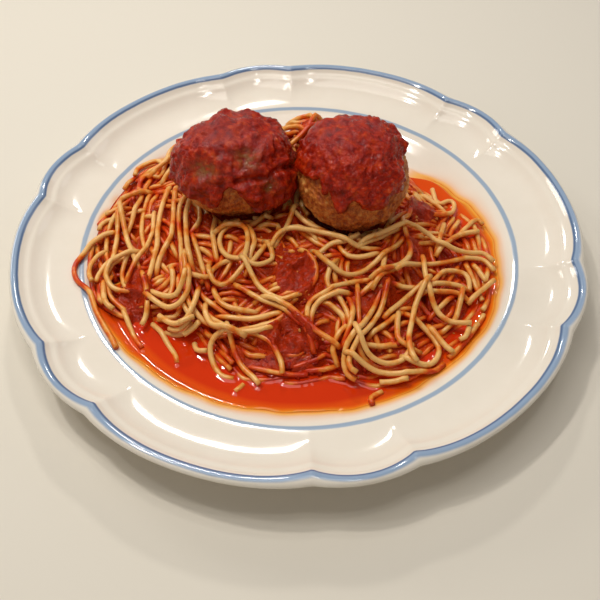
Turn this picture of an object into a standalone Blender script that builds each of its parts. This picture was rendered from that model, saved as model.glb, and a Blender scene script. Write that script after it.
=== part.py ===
"""Spaghetti and meatballs on a scalloped dinner plate, in metres, +Z up.

The origin is under the middle of the plate, on the surface that it stands on. The diner sits at -Y.
"""

import math
import random

import bmesh
import bpy
from mathutils import Matrix, Vector, noise

MM = 0.001
GAP = 0.35 * MM  # air between two pieces that touch
HOLLOW_GAP = 0.45 * MM  # the same, where a hollow is cut for a lumpy piece

# Plate: a turned section whose rim is drawn in at six pairs of cusps
PLATE_STEPS = 120
PAIR_COUNT = 6
PAIR_ANGLE = 41.2  # degrees, the middle of the first pair
CUSP_ANGLE = 9.0  # degrees, from the middle of a pair to each of its cusps
CUSP_DEPTH = 3.8 * MM
SHORT_LOBE_POWER = 2.0
LONG_LOBE_POWER = 3.2
CUSP_RIDGE = 0.5 * MM
RIDGE_POWER = 12  # how narrow the ridge at a cusp is

# Each station is a radius and a height in millimetres, then how far it follows the cusps, from 0 to 1
PLATE_TOP = [
    (82.0, 6.5, 0.0),
    (92.0, 8.9, 0.0),
    (98.0, 11.6, 0.0),
    (103.5, 13.9, 0.0),
    (108.0, 14.5, 0.1),
    (121.0, 16.6, 1.0),
    (126.5, 19.4, 1.0),
    (131.2, 23.2, 1.0),
    (133.2, 24.0, 1.0),
    (135.0, 22.3, 0.5),
]
PLATE_UNDER = [
    (134.4, 20.6, 0.45),
    (108.0, 10.0, 0.0),
    (89.0, 1.6, 0.0),
    (88.0, 0.0, 0.0),
    (84.5, 0.0, 0.0),
    (82.5, 2.6, 0.0),
]
FLOOR = 6.5 * MM
UNDERSIDE = 2.6 * MM

# Heap: how far the pasta spreads at each twelfth of a turn, starting at +X
HEAP_STEPS = 48
HEAP_RINGS = 14
HEAP_SPREAD = [91, 79, 78, 78, 91, 98, 101, 99, 74, 82, 94, 96]  # millimetres
HEAP_RISE = 22.0 * MM
HEAP_EDGE = 4.0 * MM
HEAP_TOP = Vector((-4 * MM, 8 * MM))
HEAP_BANKS = [  # pasta banked up behind the meatballs: place, spread and rise, in millimetres
    ((-55, 57), 13, 11),
    ((-32, 55), 13, 8),
    ((1, 45), 12, 17),
    ((19, 50), 10, 7),
]
HEAP_UNEVEN = 2.2 * MM
HEAP_UNEVEN_SIZE = 16 * MM
CORE_INSET = 5.0 * MM  # the solid core stops short of the outermost strands

# Strands, spread over the heap by two irrational steps
STRAND_RADIUS = 1.25 * MM
STRAND_COUNT = 19
STRAND_TRIES = 80
STRAND_STEP = 7.0 * MM
STRAND_POINTS = (13, 19)
STRAND_LEAST = 8  # points that a strand needs to be worth laying
STRAND_SINK = 0.3  # of its radius
STRAND_CLEAR = 0.8 * MM
STRAND_SEED = 4
STRAND_CURL = (0.06, 0.24)  # radians that it turns inwards at each step
STRAND_BEND = math.radians(24)  # the most that it turns at the heap's edge
SPREAD_TURN = 0.7549
SPREAD_OUT = 0.5698

# Thin red sauce round the pasta
POOL_LEVEL = 10.0 * MM
POOL_START = 225.0  # degrees
POOL_STEPS = 24
POOL_SHORE = [(225, 94.0), (378, 94.0), (405, 88.0)]  # degrees and millimetres
POOL_LEAST = 0.4 * MM

# Meatballs: middle, half sizes, and where their lumps fall
BALL_STEPS = 20
BALL_LUMP = 1.4 * MM
BALL_LUMP_SIZE = 15 * MM
BALLS = {
    "left": (Vector((-30, 20.5, 43)) * MM, Vector((27.4, 23, 22.6)) * MM, 3.0),
    "right": (Vector((25.4, 14, 42.5)) * MM, Vector((25.6, 25.5, 24.6)) * MM, 9.0),
}

# Chunky sauce over each meatball: how far down it reaches in degrees from the top, then the runs
# in its edge as azimuth, half width and extra reach, and its lumps as azimuth, angle from the top,
# half width and extra thickness in millimetres
CAP_STEPS = 24
CAP_RINGS = 10
CAP_ROOT = 1.5 * MM  # how far it would reach into the meatball, before it is hollowed to fit
CAP_THICKNESS = 2.7 * MM
CAP_LIP = 0.45  # how much of the thickness is left at the edge
CAP_REACH = {"left": 84.0, "right": 75.0}
CAP_RUNS = {
    "left": [(232, 26, 22), (305, 30, 30), (268, 13, -22), (60, 40, 6)],
    "right": [(253, 9, 15), (292, 16, 10), (200, 18, 10), (20, 25, 6), (120, 30, -8)],
}
CAP_LUMPS = {
    "left": [(308, 88, 26, 3.4), (200, 50, 22, 1.4), (90, 40, 20, 1.2)],
    "right": [(290, 60, 24, 1.2), (160, 45, 20, 1.0), (60, 50, 22, 1.2)],
}

# Spoonfuls of chunky sauce on the pasta: place and half sizes in millimetres, turn in degrees
SAUCE_PATCHES = {
    "middle": ((-1, -31), (10, 14, 3.6), 15),
    "front": ((-4, -61), (13, 9, 3.4), 8),
    "side": ((-74, -35), (7, 13, 3.4), 5),
    "back": ((60, 17), (8, 8, 3.8), 0),
}
PATCH_STEPS = 12
PATCH_UNEVEN = 0.22
PATCH_SINK = 0.35  # how flat its underside is beside its top

COLOURS = {
    "glaze": ((0.83, 0.78, 0.68), 0.12),
    "pasta": ((0.72, 0.45, 0.17), 0.35),
    "meat": ((0.20, 0.085, 0.03), 0.55),
    "chunky_sauce": ((0.36, 0.022, 0.010), 0.28),
    "thin_sauce": ((0.55, 0.055, 0.008), 0.08),
}


def clear_scene():
    for obj in list(bpy.data.objects):
        bpy.data.objects.remove(obj)


def material(name):
    made = bpy.data.materials.get(name)
    if made:
        return made
    colour, roughness = COLOURS[name]
    made = bpy.data.materials.new(name)
    made.use_nodes = True
    shader = made.node_tree.nodes["Principled BSDF"]
    shader.inputs["Base Color"].default_value = (*colour, 1)
    shader.inputs["Roughness"].default_value = roughness
    shader.inputs["Metallic"].default_value = 0
    return made


def add_object(name, bm, collection, material_name):
    bmesh.ops.recalc_face_normals(bm, faces=bm.faces[:])
    bmesh.ops.triangulate(bm, faces=bm.faces[:])  # so that a lumpy piece and its hollow fold alike
    mesh = bpy.data.meshes.new(name)
    bm.to_mesh(mesh)
    bm.free()
    mesh.materials.append(material(material_name))
    mesh.shade_smooth()
    mesh.set_sharp_from_angle(angle=math.radians(50))
    obj = bpy.data.objects.new(name, mesh)
    collection.objects.link(obj)
    return obj


def between(stations, at):
    """The value at a place, in a straight line between the two stations on either side of it."""
    for (a, low), (b, high) in zip(stations, stations[1:]):
        if at <= b:
            share = max(0.0, (at - a) / (b - a))
            return low + (high - low) * share
    return stations[-1][1]


# Plate


def lobe_place(angle):
    """Where an angle lies in its lobe, from 0 in its middle to 1 at its cusps, and the lobe's power."""
    period = 360 / PAIR_COUNT
    offset = abs((angle - PAIR_ANGLE + period / 2) % period - period / 2)
    if offset <= CUSP_ANGLE:
        return offset / CUSP_ANGLE, SHORT_LOBE_POWER
    return (period / 2 - offset) / (period / 2 - CUSP_ANGLE), LONG_LOBE_POWER


def plate_height(radius):
    """The height of the plate's upper surface inside its rim, in metres."""
    stations = [(0.0, FLOOR)] + [(r * MM, z * MM) for r, z, _ in PLATE_TOP]
    return between(stations, radius)


def make_plate(collection):
    bm = bmesh.new()
    share_of = bm.verts.layers.float.new("cusp_share")
    stations = [(r * MM, z * MM, share) for r, z, share in PLATE_TOP + PLATE_UNDER]
    section = []
    for radius, height, share in [(0, FLOOR, 0), *stations, (0, UNDERSIDE, 0)]:
        vert = bm.verts.new((radius, 0, height))
        vert[share_of] = share
        section.append(vert)
    edges = [bm.edges.new(pair) for pair in zip(section, section[1:])]
    turn_to_pair = Matrix.Rotation(math.radians(PAIR_ANGLE), 3, "Z")
    bmesh.ops.rotate(bm, verts=bm.verts[:], matrix=turn_to_pair)
    bmesh.ops.spin(
        bm,
        geom=section + edges,
        axis=(0, 0, 1),
        angle=math.tau,
        steps=PLATE_STEPS,
        use_merge=True,
    )
    bmesh.ops.remove_doubles(bm, verts=bm.verts[:], dist=0.01 * MM)
    for vert in bm.verts:
        share = vert[share_of]
        if share == 0:
            continue
        place, power = lobe_place(math.degrees(math.atan2(vert.co.y, vert.co.x)))
        radius = vert.co.xy.length
        vert.co.xy *= (radius - share * CUSP_DEPTH * place**power) / radius
        vert.co.z += share * CUSP_RIDGE * place**RIDGE_POWER
    return add_object("plate", bm, collection, "glaze")


# Heap


def heap_spread(angle):
    """How far the pasta reaches at an angle in radians, in metres, as a smooth closed curve."""
    turn = (math.degrees(angle) % 360) / 30
    before = int(turn)
    share = turn - before
    share = share * share * (3 - 2 * share)
    low = HEAP_SPREAD[before % 12]
    high = HEAP_SPREAD[(before + 1) % 12]
    return (low + (high - low) * share) * MM


def heap_height(x, y):
    """The height of the heap's outer surface, in metres: a low mound, highest behind the middle."""
    place = Vector((x, y))
    away = place.length / heap_spread(math.atan2(y, x))
    slope = min(1.0, 0.55 * away + 0.45 * (place - HEAP_TOP).length / (90 * MM))
    lumps = HEAP_UNEVEN * noise.noise(Vector((x, y, 0)) / HEAP_UNEVEN_SIZE)
    rise = HEAP_EDGE + (HEAP_RISE - HEAP_EDGE) * (1 - slope**2.4) + lumps
    for at, spread, bank in HEAP_BANKS:
        rise += bank * MM * bump((place - Vector(at) * MM).length, spread * MM)
    return plate_height(place.length) + GAP + max(rise, HEAP_EDGE)


def core_radius(angle):
    return heap_spread(angle) - CORE_INSET


def make_core(collection):
    """A ball pressed into the heap's form: its lower half on the plate, its upper half the mound."""
    bm = bmesh.new()
    bmesh.ops.create_uvsphere(bm, u_segments=HEAP_STEPS, v_segments=HEAP_RINGS, radius=1)
    for vert in bm.verts:
        upper = vert.co.z > -0.01
        angle = math.atan2(vert.co.y, vert.co.x)
        radius = vert.co.xy.length * core_radius(angle)
        x, y = radius * math.cos(angle), radius * math.sin(angle)
        height = heap_height(x, y) - STRAND_RADIUS if upper else plate_height(radius) + GAP
        vert.co = (x, y, height)
    return add_object("spaghetti", bm, collection, "pasta")


# Meatballs


def ball_point(name, direction, out=0.0):
    """The point of a meatball's lumpy surface in a direction from its middle, moved out."""
    middle, half, seed = BALLS[name]
    on_ball = Vector(a * b for a, b in zip(direction, half))
    lump = BALL_LUMP * noise.noise(on_ball / BALL_LUMP_SIZE + Vector((seed, seed, seed)))
    return middle + on_ball + direction * (lump + out)


def make_ball(label, name, collection):
    bm = bmesh.new()
    bmesh.ops.create_uvsphere(bm, u_segments=BALL_STEPS, v_segments=BALL_STEPS // 2, radius=1)
    for vert in bm.verts:
        vert.co = ball_point(name, vert.co.normalized())
    return add_object(label, bm, collection, "meat")


# Sauce over the meatballs


def bump(distance, width):
    return math.exp(-((distance / width) ** 2))


def turned_from(a, b):
    """The angle in degrees between two azimuths."""
    return abs((a - b + 180) % 360 - 180)


def cap_edge(name, azimuth):
    """How far down from the top the sauce reaches at an azimuth, in degrees."""
    runs = sum(reach * bump(turned_from(azimuth, at), width) for at, width, reach in CAP_RUNS[name])
    return CAP_REACH[name] + runs


def cap_thickness(name, azimuth, down):
    thickness = CAP_THICKNESS
    for at, from_top, width, extra in CAP_LUMPS[name]:
        sideways = turned_from(azimuth, at) * math.sin(math.radians(down))
        thickness += extra * MM * bump(math.hypot(sideways, down - from_top), width)
    return thickness


def make_cap(label, name, collection):
    """A ball folded into a cap: its upper half is the sauce's outside, its lower half is in the meat."""
    bm = bmesh.new()
    bmesh.ops.create_uvsphere(bm, u_segments=CAP_STEPS, v_segments=CAP_RINGS, radius=1)
    for vert in bm.verts:
        azimuth = math.degrees(math.atan2(vert.co.y, vert.co.x))
        polar = math.degrees(math.acos(max(-1.0, min(1.0, vert.co.z))))
        down = math.radians((1 - abs(polar - 90) / 90) * cap_edge(name, azimuth))
        turn = math.radians(azimuth)
        side = math.sin(down)
        direction = Vector((side * math.cos(turn), side * math.sin(turn), math.cos(down)))
        outside = 1.0 if polar < 89 else CAP_LIP
        thickness = outside * cap_thickness(name, azimuth, math.degrees(down))
        vert.co = ball_point(name, direction, thickness if polar < 91 else -CAP_ROOT)
    return add_object(label, bm, collection, "chunky_sauce")


# Sauce on the pasta


def make_patch(label, name, collection):
    (x, y), half, turn = SAUCE_PATCHES[name]
    place = Vector((x, y, 0)) * MM
    half = Vector(half) * MM
    spin = Matrix.Rotation(math.radians(turn), 3, "Z")
    bm = bmesh.new()
    bmesh.ops.create_uvsphere(bm, u_segments=PATCH_STEPS, v_segments=PATCH_STEPS // 2, radius=1)
    for vert in bm.verts:
        unit = vert.co.normalized()
        uneven = 1 + PATCH_UNEVEN * noise.noise(unit * 1.6 + place / (9 * MM))
        across = spin @ Vector((unit.x * half.x, unit.y * half.y, 0)) * uneven
        flat = place + across
        surface = heap_height(flat.x, flat.y) - STRAND_RADIUS
        lift = unit.z * half.z * uneven * (1 if unit.z > 0 else PATCH_SINK)
        vert.co = flat + Vector((0, 0, surface + lift))
    return add_object(label, bm, collection, "chunky_sauce")


# Thin sauce


def make_pool(collection):
    """A section from the pasta to the shore, spun round the plate, then fitted to both."""
    bm = bmesh.new()
    place_of = bm.verts.layers.float.new("place")  # 0 at the pasta, 1 at the shore
    section = []
    for place, height in [(0, 0), (0.5, 0), (1, 0), (1, 1), (0, 1)]:
        vert = bm.verts.new((1 + place, 0, height))
        vert[place_of] = place
        section.append(vert)
    face = bm.faces.new(section)
    start = Matrix.Rotation(math.radians(POOL_START), 3, "Z")
    bmesh.ops.rotate(bm, verts=bm.verts[:], matrix=start)
    sweep = math.tau * POOL_STEPS / HEAP_STEPS
    bmesh.ops.spin(bm, geom=[face], axis=(0, 0, 1), angle=sweep, steps=POOL_STEPS)
    bmesh.ops.remove_doubles(bm, verts=bm.verts[:], dist=0.01 * MM)
    for vert in bm.verts:
        angle = math.atan2(vert.co.y, vert.co.x)
        turned = math.degrees(angle) % 360
        turned += 360 if turned < POOL_START - 1 else 0
        inner = core_radius(angle) + GAP
        outer = between(POOL_SHORE, turned) * MM
        radius = inner + (outer - inner) * vert[place_of]
        bottom = plate_height(radius) + GAP
        height = max(POOL_LEVEL, bottom + POOL_LEAST) if vert.co.z > 0.5 else bottom
        vert.co = (radius * math.cos(angle), radius * math.sin(angle), height)
    return add_object("thin_sauce", bm, collection, "thin_sauce")


# Strands


def strand_is_clear(point):
    """Whether a strand's middle can pass here without touching a topping, the plate or the thin sauce."""
    reach = STRAND_RADIUS + STRAND_CLEAR
    for name, (middle, half, _) in BALLS.items():
        away = point - middle
        grown = half + Vector((1, 1, 1)) * (reach + CAP_THICKNESS + BALL_LUMP)
        if Vector(a / b for a, b in zip(away, grown)).length < 1:
            return False
    for (x, y), half, turn in SAUCE_PATCHES.values():
        away = Matrix.Rotation(math.radians(-turn), 2) @ (point.xy - Vector((x, y)) * MM)
        grown = (1 + PATCH_UNEVEN) * Vector(half[:2]) * MM + Vector((reach, reach))
        if math.hypot(away.x / grown.x, away.y / grown.y) < 1:
            return False
    radius = point.xy.length
    on_core = radius < core_radius(math.atan2(point.y, point.x)) - STRAND_RADIUS
    floor = plate_height(radius) if on_core else max(POOL_LEVEL, plate_height(radius))
    return point.z > floor + reach


def strand_path(index, random_draw):
    """Points of one strand, which sets off round the heap and curls inwards."""
    angle = math.tau * (index * SPREAD_TURN % 1)
    out = math.sqrt(index * SPREAD_OUT % 1)
    place = Vector((math.cos(angle), math.sin(angle))) * out * 0.93 * heap_spread(angle)
    way = random_draw.choice((-1, 1))
    heading = angle + way * (math.pi / 2 + random_draw.uniform(-0.7, 0.5))
    curl = way * random_draw.uniform(*STRAND_CURL)
    points = []
    for step in range(random_draw.randint(*STRAND_POINTS)):
        x, y = place
        lift = STRAND_RADIUS * (1 - STRAND_SINK + 0.5 * math.sin(step * 0.7 + index))
        points.append(Vector((x, y, heap_height(x, y) - STRAND_RADIUS + lift)))
        ahead = place + STRAND_STEP * Vector((math.cos(heading), math.sin(heading)))
        limit = 0.97 * heap_spread(math.atan2(ahead.y, ahead.x))
        if ahead.length > limit:
            inwards = math.atan2(-ahead.y, -ahead.x)
            turn = (inwards - heading + math.pi) % math.tau - math.pi
            heading += max(-STRAND_BEND, min(STRAND_BEND, turn))
            ahead *= limit / ahead.length
        heading += curl
        place = ahead
    return points


def longest_clear_run(points):
    runs = [[]]
    for before, point in zip([points[0], *points], points):
        if not strand_is_clear((before + point) / 2):
            runs.append([])
        if strand_is_clear(point):
            runs[-1].append(point)
        else:
            runs.append([])
    return max(runs, key=len)


def make_strand(index, points, collection):
    curve = bpy.data.curves.new(f"strand_{index}", "CURVE")
    curve.dimensions = "3D"
    curve.bevel_depth = STRAND_RADIUS
    curve.bevel_resolution = 1
    curve.use_fill_caps = True
    spline = curve.splines.new("POLY")
    spline.points.add(len(points) - 1)
    for knot, point in zip(spline.points, points):
        knot.co = (*point, 1)
    guide = bpy.data.objects.new(f"strand_{index}", curve)
    collection.objects.link(guide)
    bpy.context.view_layer.update()
    evaluated = guide.evaluated_get(bpy.context.evaluated_depsgraph_get())
    mesh = bpy.data.meshes.new_from_object(evaluated)
    bpy.data.objects.remove(guide)
    bm = bmesh.new()
    bm.from_mesh(mesh)
    bmesh.ops.remove_doubles(bm, verts=bm.verts[:], dist=0.01 * MM)
    return add_object(f"strand_{index}", bm, collection, "pasta")


def make_strands(collection):
    random_draw = random.Random(STRAND_SEED)
    for index in range(1, STRAND_TRIES):
        points = longest_clear_run(strand_path(index, random_draw))
        if len(points) >= STRAND_LEAST and len(collection.objects) < STRAND_COUNT:
            make_strand(index, points, collection)


# Joining and cutting


def make_hollow(piece, collection):
    """A copy of a piece, a little larger all round, which cuts room for it."""
    mesh = piece.data.copy()
    for vert, normal in zip(mesh.vertices, [vert.normal.copy() for vert in mesh.vertices]):
        vert.co += normal * HOLLOW_GAP
    hollow = bpy.data.objects.new("hollow_for_" + piece.name, mesh)
    collection.objects.link(hollow)
    return hollow


def cut_with(obj, cutter):
    modifier = obj.modifiers.new(cutter.name, "BOOLEAN")
    modifier.object = cutter
    modifier.operation = "DIFFERENCE"
    apply_modifier(obj, modifier)


def join_or_cut(obj, collection, operation):
    """Adds a collection's objects to a piece, or takes them from it."""
    modifier = obj.modifiers.new(collection.name, "BOOLEAN")
    modifier.operand_type = "COLLECTION"
    modifier.collection = collection
    modifier.operation = operation
    modifier.solver = "MANIFOLD"  # EXACT leaves open edges where many strands cross
    apply_modifier(obj, modifier)


def apply_modifier(obj, modifier):
    bpy.context.view_layer.update()
    evaluated = obj.evaluated_get(bpy.context.evaluated_depsgraph_get())
    mesh = bpy.data.meshes.new_from_object(evaluated)
    obj.modifiers.remove(modifier)
    obj.data = mesh


def keep_largest_body(obj):
    """Fills hollows that the joining sealed and drops loose scraps, by keeping the one largest surface."""
    bm = bmesh.new()
    bm.from_mesh(obj.data)
    left = set(bm.verts)
    bodies = []
    while left:
        body = [left.pop()]
        for vert in body:
            near = {edge.other_vert(vert) for edge in vert.link_edges} & left
            left -= near
            body.extend(near)
        bodies.append(body)
    bodies.sort(key=len)
    scraps = [vert for body in bodies[:-1] for vert in body]
    bmesh.ops.delete(bm, geom=scraps, context="VERTS")
    bm.to_mesh(obj.data)
    bm.free()


def new_collection(name, hidden):
    collection = bpy.data.collections.new(name)
    collection.hide_render = hidden
    bpy.context.scene.collection.children.link(collection)
    return collection


def remove_all(collection):
    for obj in list(collection.objects):
        bpy.data.objects.remove(obj)
    bpy.data.collections.remove(collection)


def main():
    clear_scene()
    dish = new_collection("spaghetti_and_meatballs", hidden=False)
    cutters = new_collection("cutters", hidden=True)
    strands = new_collection("strands", hidden=True)

    make_plate(dish)
    core = make_core(dish)
    for name in BALLS:
        ball = make_ball("meatball_" + name, name, dish)
        cap = make_cap("sauce_on_" + name, name, dish)
        make_hollow(cap, cutters)
        cut_with(cap, make_hollow(ball, cutters))
    for name in SAUCE_PATCHES:
        patch = make_patch("sauce_patch_" + name, name, dish)
        make_hollow(patch, cutters)
    make_pool(dish)

    join_or_cut(core, cutters, "DIFFERENCE")
    make_strands(strands)
    join_or_cut(core, strands, "UNION")
    keep_largest_body(core)
    remove_all(cutters)
    remove_all(strands)


main()
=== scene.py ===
# %% [markdown]
# # Spaghetti and meatballs, dressed
#
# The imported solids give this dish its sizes: a scalloped plate, one heap of pasta, two meatballs,
# the sauce over them and round them. Here each solid is replaced by a finer piece of the same form,
# and each finish is built as the real one is. Lengths are in millimetres until a mesh is written.

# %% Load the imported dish
import math
import random

import bmesh
import bpy
import numpy as np
from mathutils import Matrix, Vector, noise


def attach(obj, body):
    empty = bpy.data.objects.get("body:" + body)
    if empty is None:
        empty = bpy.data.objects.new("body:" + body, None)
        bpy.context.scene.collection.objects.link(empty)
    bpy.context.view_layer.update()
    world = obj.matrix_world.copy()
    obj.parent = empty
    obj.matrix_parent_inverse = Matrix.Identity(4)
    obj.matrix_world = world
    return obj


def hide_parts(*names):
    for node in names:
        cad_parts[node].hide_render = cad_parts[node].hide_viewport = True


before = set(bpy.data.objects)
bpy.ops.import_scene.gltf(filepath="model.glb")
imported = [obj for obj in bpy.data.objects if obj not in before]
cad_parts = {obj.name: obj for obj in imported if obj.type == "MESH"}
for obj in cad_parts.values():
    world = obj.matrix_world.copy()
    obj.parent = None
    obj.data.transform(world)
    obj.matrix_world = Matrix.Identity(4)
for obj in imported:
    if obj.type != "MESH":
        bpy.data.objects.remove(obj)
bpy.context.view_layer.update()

MM = 0.001

# %% [markdown]
# ## Small tools
#
# A colour is easiest to match as the hex value that a picture shows, but Blender mixes light in
# linear values, so one function turns hex to linear. One more adds a shader node with its settings
# and links. A third turns a finished bmesh into a piece that rides on the dish.


# %% Colours and nodes
def linear(hex_colour):
    """A picture's hex colour as the linear colour that Blender mixes."""
    channels = [int(hex_colour[at : at + 2], 16) / 255 for at in (1, 3, 5)]
    bent = [c / 12.92 if c <= 0.04045 else ((c + 0.055) / 1.055) ** 2.4 for c in channels]
    return (*bent, 1.0)


def add_node(tree, kind, settings=None, inputs=None, stops=None):
    """Adds a shader node, gives it its settings, and sets or links its inputs."""
    node = tree.nodes.new(kind)
    for name, value in (settings or {}).items():
        setattr(node, name, value)
    for name, value in (inputs or {}).items():
        if isinstance(value, bpy.types.NodeSocket):
            tree.links.new(value, node.inputs[name])
        else:
            node.inputs[name].default_value = value
    if stops:
        elements = node.color_ramp.elements
        while len(elements) < len(stops):
            elements.new(0.5)
        for element, (place, colour) in zip(elements, stops):
            element.position = place
            element.color = colour
    return node


def start_material(name):
    """A new material with only its output, and its tree."""
    made = bpy.data.materials.new(name)
    made.use_nodes = True
    tree = made.node_tree
    for node in list(tree.nodes):
        if node.type != "OUTPUT_MATERIAL":
            tree.nodes.remove(node)
    return made, tree


def finish_material(tree, shader):
    output = next(node for node in tree.nodes if node.type == "OUTPUT_MATERIAL")
    tree.links.new(shader.outputs["BSDF"], output.inputs["Surface"])


# %% Pieces
def finish_piece(name, bm, material, slot, *solids, attributes=None):
    """Writes a bmesh in millimetres as a smooth piece in metres that replaces some solids."""
    bmesh.ops.recalc_face_normals(bm, faces=bm.faces[:])
    bmesh.ops.scale(bm, verts=bm.verts[:], vec=(MM, MM, MM))
    mesh = bpy.data.meshes.new(name)
    bm.to_mesh(mesh)
    bm.free()
    return place_piece(name, mesh, material, slot, *solids, attributes=attributes)


def place_piece(name, mesh, material, slot, *solids, attributes=None):
    mesh.materials.clear()
    mesh.materials.append(material)
    mesh.shade_smooth()
    for label, values in (attributes or {}).items():
        layer = mesh.attributes.new(label, "FLOAT", "POINT")
        layer.data.foreach_set("value", np.asarray(values, np.float32))
    obj = bpy.data.objects.new(name, mesh)
    bpy.context.scene.collection.objects.link(obj)
    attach(obj, "root")
    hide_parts(*solids)
    triangles = sum(len(face.vertices) - 2 for face in mesh.polygons)
    print(f"{name}: {triangles} triangles")
    return obj


# %% [markdown]
# ## Camera
#
# The diner looks down at the dish from the near side at about 50 degrees, from close by, so that
# the far rim is clearly smaller than the near one. A lens of 47 mm gives that view.

# %% Camera
camera_data = bpy.data.cameras.new("camera")
camera_data.lens = 46.8
camera_data.sensor_width = 36
camera = bpy.data.objects.new("camera", camera_data)
bpy.context.scene.collection.objects.link(camera)
camera.location = (0, -0.263, 0.289)
looking = Vector((0.00046, -0.0456, 0.024)) - camera.location
camera.rotation_mode = "QUATERNION"
camera.rotation_quaternion = looking.to_track_quat("-Z", "Y")
bpy.context.scene.camera = camera
print("camera looks down at", round(math.degrees(math.asin(-looking.normalized().z)), 1), "degrees")

# %% [markdown]
# ## Floor and light
#
# A plain pale floor stands in for a table. Kitchen light is broad and comes from above and behind
# the dish, and small lamps leave bright spots on the glaze and the wet sauce. Area lamps give both:
# large ones for the soft light and small ones for the spots. The lamp far behind the dish makes the
# long glint on the far rim, and the two windows light the plate's sides.

# %% Floor
floor_paint, tree = start_material("matt_pale_paint")
finish_material(
    tree,
    add_node(
        tree,
        "ShaderNodeBsdfPrincipled",
        inputs={"Base Color": linear("#E4DED2"), "Roughness": 0.85},
    ),
)
bm = bmesh.new()
bmesh.ops.create_grid(bm, x_segments=1, y_segments=1, size=1.5)
floor_mesh = bpy.data.meshes.new("floor")
bm.to_mesh(floor_mesh)
bm.free()
floor_mesh.materials.append(floor_paint)
floor = bpy.data.objects.new("floor", floor_mesh)
bpy.context.scene.collection.objects.link(floor)

# %% Light
bpy.context.scene.view_settings.view_transform = "Standard"
world = bpy.data.worlds.new("room")
bpy.context.scene.world = world
world.use_nodes = True
room_light = world.node_tree.nodes["Background"]
room_light.inputs["Color"].default_value = linear("#FFF8EE")
room_light.inputs["Strength"].default_value = 0.17


def add_lamp(name, place, aim, size, watts, colour="#FFFAF2"):
    """An area lamp in metres, turned towards a point on the dish."""
    data = bpy.data.lights.new(name, "AREA")
    data.shape = "DISK"
    data.size = size
    data.energy = watts
    data.color = linear(colour)[:3]
    lamp = bpy.data.objects.new(name, data)
    lamp.location = place
    lamp.rotation_mode = "QUATERNION"
    lamp.rotation_quaternion = (Vector(aim) - Vector(place)).to_track_quat("-Z", "Y")
    bpy.context.scene.collection.objects.link(lamp)
    return lamp


DISH = (0, 0, 0.02)
LAMPS = [  # name, place and aim in metres, size in metres, power in watts
    ("ceiling_panel", (-0.14, 0.05, 0.85), DISH, 0.46, 1.5),
    ("ceiling_lamp_left", (-0.28, 0.12, 0.75), DISH, 0.05, 1.3),
    ("ceiling_lamp_front", (0.10, -0.12, 0.85), DISH, 0.04, 0.35),
    ("ceiling_lamp_back", (-0.06, 0.80, 0.75), DISH, 0.08, 1.9),
    ("window", (0.55, 0.45, 0.55), DISH, 0.38, 0.45, "#F6F8FF"),
    ("window_left", (-0.60, 0.55, 0.50), (-0.03, 0, 0.02), 0.25, 1.3),
    ("room_behind_diner", (-0.45, -0.75, 0.55), (0, 0, 0.03), 0.50, 0.8),
    ("ceiling_bulb_0", (-0.20, 0.24, 0.80), DISH, 0.02, 0.35),
    ("ceiling_bulb_1", (-0.36, 0.0, 0.72), DISH, 0.02, 0.35),
    ("ceiling_bulb_2", (0.12, -0.02, 0.90), DISH, 0.02, 0.35),
]
for lamp_facts in LAMPS:
    add_lamp(*lamp_facts)
print(len(LAMPS), "lamps")

# %% [markdown]
# ## Plate
#
# The plate is slip-cast or pressed stoneware: a round well, a rim that rolls up to a crest, and a
# crest drawn in at twelve cusps. A potter turns the section first and then presses the cusps. We do
# the same: `spin` turns the section, and each ring of points is then drawn in where it follows the
# cusps. The section is kept as radius, height and how far that station follows them.

# %% Section and cusps
PAIR_COUNT = 6
PAIR_ANGLE = 41.2  # degrees, the middle of the first pair of cusps
CUSP_ANGLE = 9.0  # degrees, from the middle of a pair to each of its cusps
CUSP_DEPTH = 3.8
CUSP_RIDGE = 0.5
RIDGE_POWER = 12  # how narrow the ridge at a cusp is
SHORT_LOBE_POWER = 2.0
LONG_LOBE_POWER = 3.2
PLATE_STEPS = 720
STATION_SPACING = 0.8
FLAT_STATIONS = 3  # the stations of the flat floor, which needs none in between

PLATE_TOP = [  # radius, height and how far it follows the cusps
    (0, 6.5, 0),
    (30, 6.5, 0),
    (60, 6.5, 0),
    (78, 6.5, 0),
    (84, 6.75, 0),
    (88, 7.4, 0),
    (92, 8.8, 0),
    (96, 10.6, 0),
    (100, 12.5, 0),
    (102.5, 13.5, 0),
    (104.5, 14.05, 0),
    (107, 14.45, 0.06),
    (112, 15.0, 0.35),
    (117, 15.8, 0.75),
    (120.5, 16.7, 0.96),
    (123, 17.8, 1),
    (125, 19.1, 1),
    (126.4, 20.15, 1),
    (127.4, 20.55, 1),
    (128.4, 20.85, 1),
    (129.7, 21.8, 1),
    (131.2, 23.2, 1),
    (132.3, 23.85, 1),
    (133.3, 24.0, 0.95),
    (134.3, 23.6, 0.75),
    (134.95, 22.7, 0.55),
]
PLATE_UNDER = [
    (135.05, 21.8, 0.5),
    (134.4, 20.6, 0.45),
    (131, 19.0, 0.4),
    (120, 14.6, 0.1),
    (108, 10.0, 0),
    (96, 5.0, 0),
    (89.6, 1.8, 0),
    (89.0, 0.5, 0),
    (88.4, 0.0, 0),
    (84.6, 0.0, 0),
    (84.0, 0.5, 0),
    (82.5, 2.3, 0),
    (80, 2.6, 0),
    (0, 2.6, 0),
]


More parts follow.
